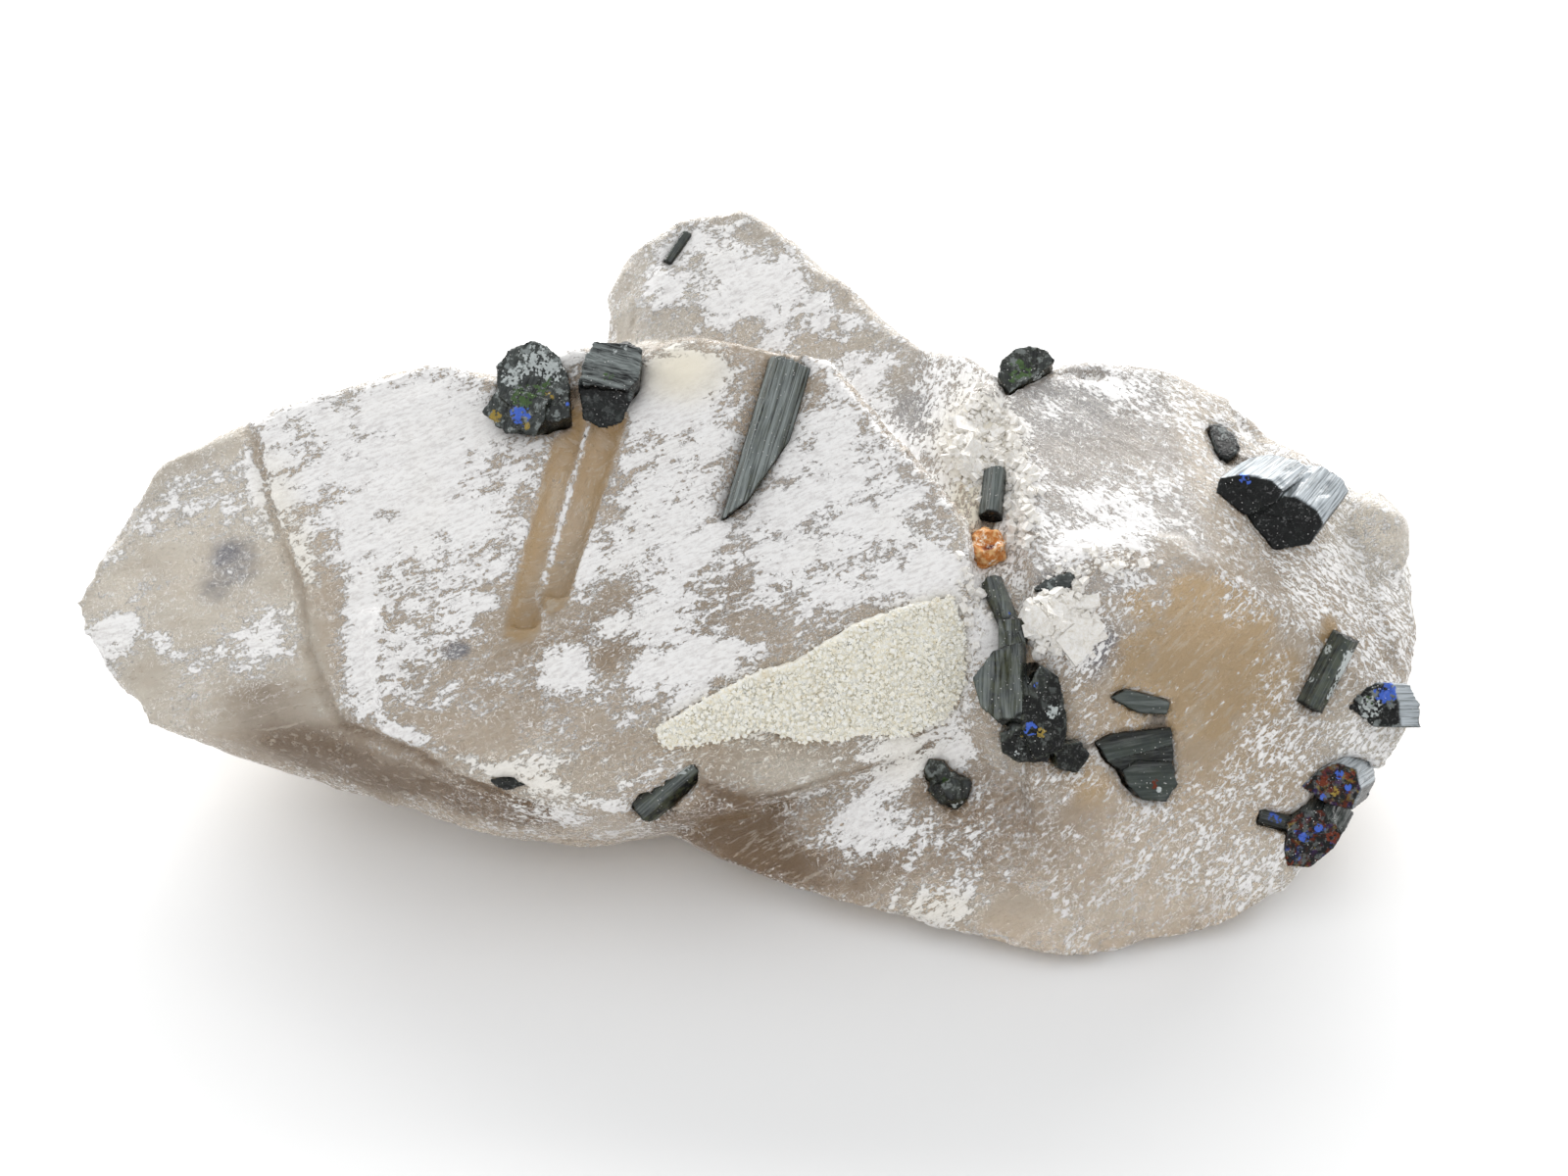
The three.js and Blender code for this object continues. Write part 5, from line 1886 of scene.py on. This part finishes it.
TOURMALINES = (
    Tourmaline(
        "tourmaline_pointed_rod",
        (Axis((-1.0, -6.7, 24.1), (3.6, 7.6, 32.9), 1.85),),
        slate=1.1,
        spots=(Spot(Hue.LEAF, (3.0, 6.4, 32.8), 1.6, 0.5),),
        olive=0.3,
    ),
    Tourmaline(
        "tourmaline_stepped_rod",
        (Axis((-12.0, 1.4, 29.5), (-10.0, 7.5, 33.4), 2.2),),
        slate=1.0,
        break_sheen=0.06,
        banded=True,
        spots=(
            Spot(Hue.LEAF, (-10.9, 4.7, 32.9), 1.0, 0.6),
            Spot(Hue.PALE, (-10.0, 6.9, 33.9), 1.2, 0.6),
            Spot(Hue.PALE, (-12.2, 6.6, 33.8), 0.8, 0.5),
        ),
        olive=0.0,
    ),
    Tourmaline(
        "tourmaline_burred_cluster",
        (Axis((-19.0, 2.0, 28.6), (-15.6, 8.0, 32.6), 2.6),),
        slate=1.4,
        break_sheen=1.2,
        spots=(
            Spot(Hue.LEAF, (-17.5, 3.4, 32.0), 1.3),
            Spot(Hue.LEAF, (-15.8, 4.4, 32.2), 0.9, 0.8),
            Spot(Hue.BLUE, (-17.7, 2.6, 30.7), 1.1),
            Spot(Hue.BLUE, (-14.1, 3.3, 31.3), 0.5, 0.7),
            Spot(Hue.BRASS, (-19.8, 3.1, 30.1), 0.7),
            Spot(Hue.BRASS, (-17.2, 1.9, 30.1), 0.4),
            Spot(Hue.BRASS, (-15.5, 3.7, 31.7), 0.6, 0.8),
            Spot(Hue.PALE, (-16.6, 6.0, 33.4), 1.8, 0.9),
            Spot(Hue.PALE, (-18.6, 4.8, 32.6), 1.1, 0.8),
            Spot(Hue.PALE, (-15.0, 5.4, 32.6), 1.0, 0.7),
        ),
        fire=0.16,
        olive=0.4,
        rugged=1.5,
        lumpy=True,
    ),
    Tourmaline("tourmaline_rear_needle", (Axis((-6.6, 16.6, 35.7), (-4.9, 19.2, 37.0), 0.45),)),
    Tourmaline(
        "tourmaline_notch_knob",
        (Axis((22.4, 8.6, 27.6), (22.6, 12.6, 29.6), 2.2),),
        slate=1.1,
        break_sheen=0.8,
        spots=(
            Spot(Hue.LEAF, (22.1, 9.3, 30.2), 1.6, 0.8),
            Spot(Hue.PALE, (24.0, 9.0, 29.4), 1.0, 0.9),
        ),
        olive=0.5,
        rugged=0.8,
        lumpy=True,
    ),
    Tourmaline(
        "tourmaline_upper_valley_rod",
        (Axis((19.2, -3.6, 25.2), (19.8, 0.6, 26.6), 1.05),),
        slate=0.6,
        olive=0.15,
    ),
    Tourmaline(
        "tourmaline_valley_cluster",
        (
            Axis((18.9, -9.4, 23.7), (20.8, -14.6, 21.6), 0.95, True),
            Axis((20.4, -12.8, 22.4), (20.0, -19.4, 18.0), 1.2, True),
            Axis((18.7, -15.6, 21.6), (19.3, -19.8, 19.0), 1.6, True),
            Axis((22.7, -18.2, 18.1), (23.1, -20.2, 19.7), 1.9),
            Axis((21.1, -19.6, 15.9), (21.0, -21.2, 16.9), 1.6),
            Axis((25.1, -19.4, 14.8), (25.5, -21.0, 15.8), 1.4),
        ),
        slate=0.66,
        spots=(
            Spot(Hue.BLUE, (21.6, -19.7, 17.7), 0.7),
            Spot(Hue.BRASS, (22.5, -19.8, 17.4), 0.5),
            Spot(Hue.BRASS, (20.9, -19.9, 17.0), 0.4, 0.8),
            Spot(Hue.BLUE, (22.1, -17.6, 20.2), 0.3, 0.9),
            Spot(Hue.BLUE, (20.2, -12.7, 23.2), 0.25, 0.9),
            Spot(Hue.LEAF, (19.4, -10.8, 24.1), 1.2, 0.5),
            Spot(Hue.PALE, (23.4, -18.6, 18.6), 0.9, 0.8),
            Spot(Hue.PALE, (20.9, -20.6, 16.0), 1.0, 0.7),
        ),
        fire=0.14,
        olive=0.4,
    ),
    Tourmaline(
        "tourmaline_amber_stub",
        (
            Axis((27.6, -18.2, 14.2), (32.4, -16.9, 14.8), 1.6, True),
            Axis((28.8, -19.3, 12.6), (33.0, -18.5, 13.0), 1.9, True),
        ),
        slate=0.2,
        break_sheen=0.9,
        spots=(
            Spot(Hue.RUST, (31.4, -20.0, 12.2), 0.5),
            Spot(Hue.PALE, (31.8, -20.2, 11.8), 0.3),
        ),
        olive=0.1,
    ),
    Tourmaline(
        "tourmaline_amber_flake",
        (Axis((28.2, -15.2, 16.9), (32.9, -14.5, 15.9), 1.05, True),),
        slate=0.45,
        olive=0.1,
    ),
    Tourmaline(
        "tourmaline_lip_flake",
        (Axis((22.0, -11.4, 24.4), (26.0, -11.4, 24.4), 0.9),),
        slate=0.9,
        break_sheen=1.6,
        olive=0.1,
        lumpy=True,
    ),
    Tourmaline(
        "tourmaline_low_bud",
        (Axis((15.0, -17.6, 11.6), (16.2, -19.6, 9.6), 1.5),),
        slate=0.8,
        break_sheen=0.9,
        spots=(
            Spot(Hue.LEAF, (15.8, -18.8, 11.0), 1.1, 0.8),
            Spot(Hue.PALE, (16.6, -20.0, 9.6), 0.8, 0.9),
        ),
        olive=0.6,
        lumpy=True,
    ),
    Tourmaline(
        "tourmaline_flush_wedge",
        (Axis((37.7, 5.6, 24.0), (38.1, 3.6, 27.8), 1.6),),
        slate=0.6,
        break_sheen=0.8,
        olive=0.0,
        rugged=0.25,
    ),
    Tourmaline(
        "tourmaline_twin_rods",
        (
            Axis((38.9, -3.2, 27.1), (42.4, 1.6, 25.9), 2.1),
            Axis((42.3, -4.2, 24.7), (45.6, 1.2, 24.3), 2.2),
        ),
        side=Side.REFLECTING,
        slate=0.12,
        break_sheen=0.04,
        spots=(
            Spot(Hue.BLUE, (39.1, -1.6, 27.6), 0.7, 0.9),
            Spot(Hue.BLUE, (38.3, -2.6, 26.8), 0.4, 0.7),
        ),
        fire=0.08,
        olive=0.0,
        rugged=0.4,
    ),
    Tourmaline(
        "tourmaline_green_rod",
        (Axis((43.8, -14.6, 15.1), (46.9, -10.5, 19.2), 1.2),),
        slate=0.25,
        spots=(
            Spot(Hue.PALE, (46.9, -12.4, 18.2), 0.9, 1.3),
            Spot(Hue.PALE, (46.3, -13.2, 17.3), 0.8, 1.3),
            Spot(Hue.PALE, (45.6, -14.1, 16.2), 0.8, 1.2),
            Spot(Hue.PALE, (45.2, -11.6, 18.6), 0.5),
            Spot(Hue.PALE, (44.0, -13.2, 16.8), 0.4),
            Spot(Hue.LEAF, (45.0, -13.0, 17.6), 1.4, 0.5),
        ),
        olive=0.35,
    ),
    Tourmaline(
        "tourmaline_edge_rod_upper",
        (Axis((48.1, -14.5, 15.5), (50.8, -13.9, 14.9), 1.8),),
        side=Side.REFLECTING,
        slate=0.5,
        break_sheen=1.0,
        spots=(
            Spot(Hue.BLUE, (49.7, -13.8, 16.1), 1.1),
            Spot(Hue.LEAF, (48.4, -14.0, 15.1), 0.9, 0.7),
            Spot(Hue.PALE, (48.4, -14.6, 15.2), 1.4, 0.9),
        ),
        fire=0.25,
        olive=0.3,
    ),
    Tourmaline(
        "tourmaline_edge_rod_middle",
        (Axis((45.4, -18.6, 10.4), (47.9, -15.0, 8.6), 1.85),),
        side=Side.REFLECTING,
        spots=(
            Spot(Hue.RUST, (45.0, -17.5, 10.3), 0.7),
            Spot(Hue.RUST, (47.1, -17.3, 10.6), 0.6),
            Spot(Hue.BLUE, (46.3, -17.3, 10.6), 0.45),
            Spot(Hue.BLUE, (47.0, -17.9, 9.8), 0.4),
            Spot(Hue.BLUE, (45.0, -18.3, 9.2), 0.4),
            Spot(Hue.BRASS, (46.0, -18.1, 9.5), 0.5),
        ),
        break_sheen=0.5,
        fire=0.6,
        olive=0.1,
    ),
    Tourmaline(
        "tourmaline_edge_rod_lower",
        (
            Axis((43.5, -21.1, 6.7), (45.3, -17.3, 5.8), 1.95),
            Axis((39.8, -19.0, 7.8), (43.2, -18.9, 6.4), 0.75),
        ),
        spots=(
            Spot(Hue.BLUE, (43.6, -20.2, 6.6), 0.5),
            Spot(Hue.BLUE, (44.7, -19.8, 7.2), 0.5),
            Spot(Hue.BLUE, (41.4, -19.3, 8.0), 0.8),
            Spot(Hue.RUST, (45.9, -20.2, 6.6), 0.7),
            Spot(Hue.RUST, (42.3, -21.3, 5.0), 0.6),
            Spot(Hue.BRASS, (44.4, -20.6, 5.8), 0.3, 0.8),
        ),
        break_sheen=0.5,
        fire=0.55,
        olive=0.1,
    ),
    Tourmaline(
        "tourmaline_step_flake",
        (Axis((-19.4, -21.7, 13.9), (-16.6, -21.7, 13.9), 0.7),),
        lumpy=True,
    ),
    Tourmaline(
        "tourmaline_undercut_rod",
        (Axis((-8.2, -21.5, 10.4), (-3.8, -18.8, 13.0), 1.4),),
        slate=0.5,
        spots=(
            Spot(Hue.PALE, (-4.4, -19.6, 14.4), 1.4, 0.8),
            Spot(Hue.PALE, (-5.6, -19.4, 13.6), 1.2, 0.7),
        ),
        olive=0.4,
    ),
    Tourmaline(
        "tourmaline_back_rod",
        (Axis((-24.0, 20.2, 15.4), (-15.4, 21.2, 18.0), 1.7),),
        fire=0.15,
    ),
    Tourmaline(
        "tourmaline_back_stub",
        (Axis((30.0, 15.0, 19.0), (32.4, 20.6, 20.2), 1.9),),
        fire=0.2,
    ),
)


# Crust, rust and loose grains


@dataclass
class AlbiteCrust:
    """The sugary crust on the steep front face: a worked sheet with grains sown over it."""

    voxel: float = 0.2
    relief: float = 0.2
    edge_range: tuple[float, float] = (0.05, 0.25)
    edge_relief: float = 0.4
    grains: Grains = Grains(5200, (0.07, 0.2), 64)

    def build(self) -> list[bpy.types.Object]:
        """Makes the crust and its grains.

        Returns:
            The two objects.
        """
        finish = AlbiteFinish().material()
        sheet = fine_copy("albite_crust", "albite_crust_sheet", self.voxel)
        mesh = FineMesh(sheet.data)
        edge = smooth(mesh.bulge(8), *self.edge_range)
        grainy = facets(mesh.points, size=0.55, seed=61, width=0.8, sunken=0.3)
        distance = self.relief * (grainy + 0.8 * waves(mesh.points, size=1.6, seed=62, layers=3))
        distance += edge * self.edge_relief * (layered(mesh.points, size=1.1, seed=63, layers=2) - 0.3)
        mesh.push(distance)
        sheet.data.materials.append(finish)
        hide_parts("albite_crust")
        top = smooth(mesh.normals @ STEEP_FRONT.normal, 0.5, 0.8) + 0.25 * edge + 1e-4
        grain_piece = self.grains.sown("albite_grains", mesh, top)
        grain_piece.data.materials.append(finish)
        for piece in (sheet, grain_piece):
            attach(piece, BODY)
        return [sheet, grain_piece]


@dataclass
class RustLump:
    """The lump of rust between the two valley rods, with a few white grains stuck on it."""

    voxel: float = 0.13
    relief: float = 0.34
    hollow: Patch = Patch("hollow", (18.8, -7.0, 25.8), (0.7, 0.8, 0.9), 1.0)
    hollow_depth: float = 0.5

    def build(self) -> bpy.types.Object:
        """Makes the lump.

        Returns:
            The object.
        """
        thing = fine_copy("rust_lump", "rust_lump_detail", self.voxel)
        mesh = FineMesh(thing.data)
        grainy = facets(mesh.points, size=0.7, seed=71, width=0.85)
        lumpy = waves(mesh.points, size=0.9, seed=72, layers=4)
        mesh.push(self.relief * (0.5 * grainy + 1.8 * lumpy))
        hollow = self.hollow.weight(mesh.points)
        mesh.push(-self.hollow_depth * hollow)
        mesh.paint("hollow", hollow)
        thing.data.materials.append(RustFinish().material())
        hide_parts("rust_lump")
        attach(thing, BODY)
        return thing


CRUMB_PATCHES = (
    Patch("valley", (18.6, 3.4, 27.0), (3.0, 5.4, 3.0), 1.0),
    Patch("beside the rods", (21.6, -2.0, 26.0), (1.4, 5.0, 3.0), 1.2),
    Patch("left of the valley cluster", (17.2, -11.0, 22.4), (1.6, 4.0, 4.0), 0.5),
    Patch("flaky hollow", (24.0, -13.0, 23.0), (2.6, 2.6, 3.0), 1.2),
    Patch("front lip", (28.0, -9.4, 25.2), (4.0, 1.2, 2.0), 0.6),
)
FLAKE_PATCHES = (
    Patch("flaky hollow", (24.2, -13.4, 23.0), (2.4, 2.2, 2.4), 1.0),
    Patch("valley", (18.8, 2.0, 26.8), (1.8, 4.0, 2.0), 0.4),
)


@dataclass
class WhiteCrumbs:
    """White crumbs and flakes of quartz and albite in the valley and in the flaky hollow."""

    crumbs: Grains = Grains(1500, (0.08, 0.42), 81)
    flakes: Grains = Grains(120, (0.3, 1.1), 82, flatness=0.3)

    def build(self, quartz: FineMesh) -> list[bpy.types.Object]:
        """Sows the crumbs and the flakes.

        Args:
            quartz: the surface that they lie on.

        Returns:
            The two objects.
        """
        finish = AlbiteFinish(
            "white_crumb", tint(238, 234, 226), tint(252, 250, 247), tint(214, 204, 188)
        ).material()
        made = []
        for name, grains, patches in (
            ("white_crumbs", self.crumbs, CRUMB_PATCHES),
            ("white_flakes", self.flakes, FLAKE_PATCHES),
        ):
            piece = grains.sown(name, quartz, total_weight(patches, quartz.points) ** 2 + 1e-9)
            piece.data.materials.append(finish)
            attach(piece, BODY)
            made.append(piece)
        return made


# Table, light and camera


@dataclass
class Studio:
    """A plain pale table under soft light, seen from the picture's side.

    Places and sizes are in millimetres. The window is a panel of light behind the cluster, and
    sight is how near and how far the camera sees.
    """

    table_half: float = 3000.0
    table_drop: float = 0.02
    sky_low: float = 0.69
    sky_high: float = 0.98
    sky_colour: Colour = (0.985, 0.993, 1.0, 1.0)
    window_at: Triple = (0.0, 620.0, 300.0)
    window_size: tuple[float, float] = (1500.0, 260.0)
    window_watts: float = 11.0
    window_colour: Triple = (1.0, 0.99, 0.97)
    target: Triple = (3.036, 0.05, 15.0)
    elevation: float = 40.0
    distance: float = 214.0
    lens: float = 60.0
    sensor: float = 36.0
    sight: tuple[float, float] = (5.0, 20000.0)

    def build(self) -> None:
        """Makes the table, the light and the camera."""
        self._table()
        self._window()
        self._sky()
        self._camera()
        bpy.context.scene.view_settings.view_transform = "Standard"

    def _table(self) -> None:
        """Makes the table top."""
        reach = self.table_half * MM
        mesh = bpy.data.meshes.new("table")
        corners = [(reach * x, reach * y, 0.0) for x, y in ((-1, -1), (1, -1), (1, 1), (-1, 1))]
        mesh.from_pydata(corners, [], [(0, 1, 2, 3)])
        mesh.materials.append(TableFinish().material())
        table = linked("table", mesh)
        table.location.z = -self.table_drop * MM

    def _sky(self) -> None:
        """Makes a white sky that is brighter overhead than at the horizon."""
        world = bpy.data.worlds.new("white_room")
        world.use_nodes = True
        nodes, links = world.node_tree.nodes, world.node_tree.links
        place = nodes.new("ShaderNodeTexCoord")
        parts = nodes.new("ShaderNodeSeparateXYZ")
        rise = nodes.new("ShaderNodeMapRange")
        rise.inputs["To Min"].default_value = self.sky_low
        rise.inputs["To Max"].default_value = self.sky_high
        links.new(place.outputs["Generated"], parts.inputs[0])
        links.new(parts.outputs["Z"], rise.inputs["Value"])
        links.new(rise.outputs["Result"], nodes["Background"].inputs["Strength"])
        nodes["Background"].inputs["Color"].default_value = self.sky_colour
        bpy.context.scene.world = world

    def _window(self) -> None:
        """Hangs the panel of light, facing the cluster."""
        lamp = bpy.data.lights.new("window", "AREA")
        lamp.shape = "RECTANGLE"
        lamp.size = self.window_size[0] * MM
        lamp.size_y = self.window_size[1] * MM
        lamp.energy = self.window_watts
        lamp.color = self.window_colour
        holder = bpy.data.objects.new("window", lamp)
        holder.location = Vector(self.window_at) * MM
        toward = Vector(self.target) * MM - holder.location
        holder.rotation_euler = toward.to_track_quat("-Z", "Y").to_euler()
        bpy.context.scene.collection.objects.link(holder)

    def _camera(self) -> None:
        """Sets up the camera."""
        lens = bpy.data.cameras.new("camera")
        lens.lens = self.lens
        lens.sensor_width = self.sensor
        lens.clip_start, lens.clip_end = (end * MM for end in self.sight)
        eye = bpy.data.objects.new("camera", lens)
        rise = math.radians(self.elevation)
        back = Vector((0.0, -math.cos(rise), math.sin(rise))) * self.distance
        eye.location = (Vector(self.target) + back) * MM
        eye.rotation_euler = (math.pi / 2 - rise, 0.0, 0.0)
        bpy.context.scene.collection.objects.link(eye)
        bpy.context.scene.camera = eye


def triangles(thing: bpy.types.Object) -> int:
    """How many triangles an object's mesh has."""
    return sum(len(polygon.vertices) - 2 for polygon in thing.data.polygons)


def main() -> None:
    """Builds the cluster piece by piece, then the table, the light and the camera."""
    logging.basicConfig(level=logging.INFO, format="%(message)s")
    Studio().build()
    guests = tuple(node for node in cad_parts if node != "quartz_cluster")
    quartz, surface = QuartzCluster(guests).build()
    made = [quartz]
    tourmaline = TourmalineFinish().material()
    made += [one.build(tourmaline) for one in TOURMALINES]
    made += AlbiteCrust().build()
    made.append(RustLump().build())
    made += WhiteCrumbs().build(surface)
    for piece in made:
        LOG.info("%s: %d triangles", piece.name, triangles(piece))


if __name__ == "__main__":
    main()
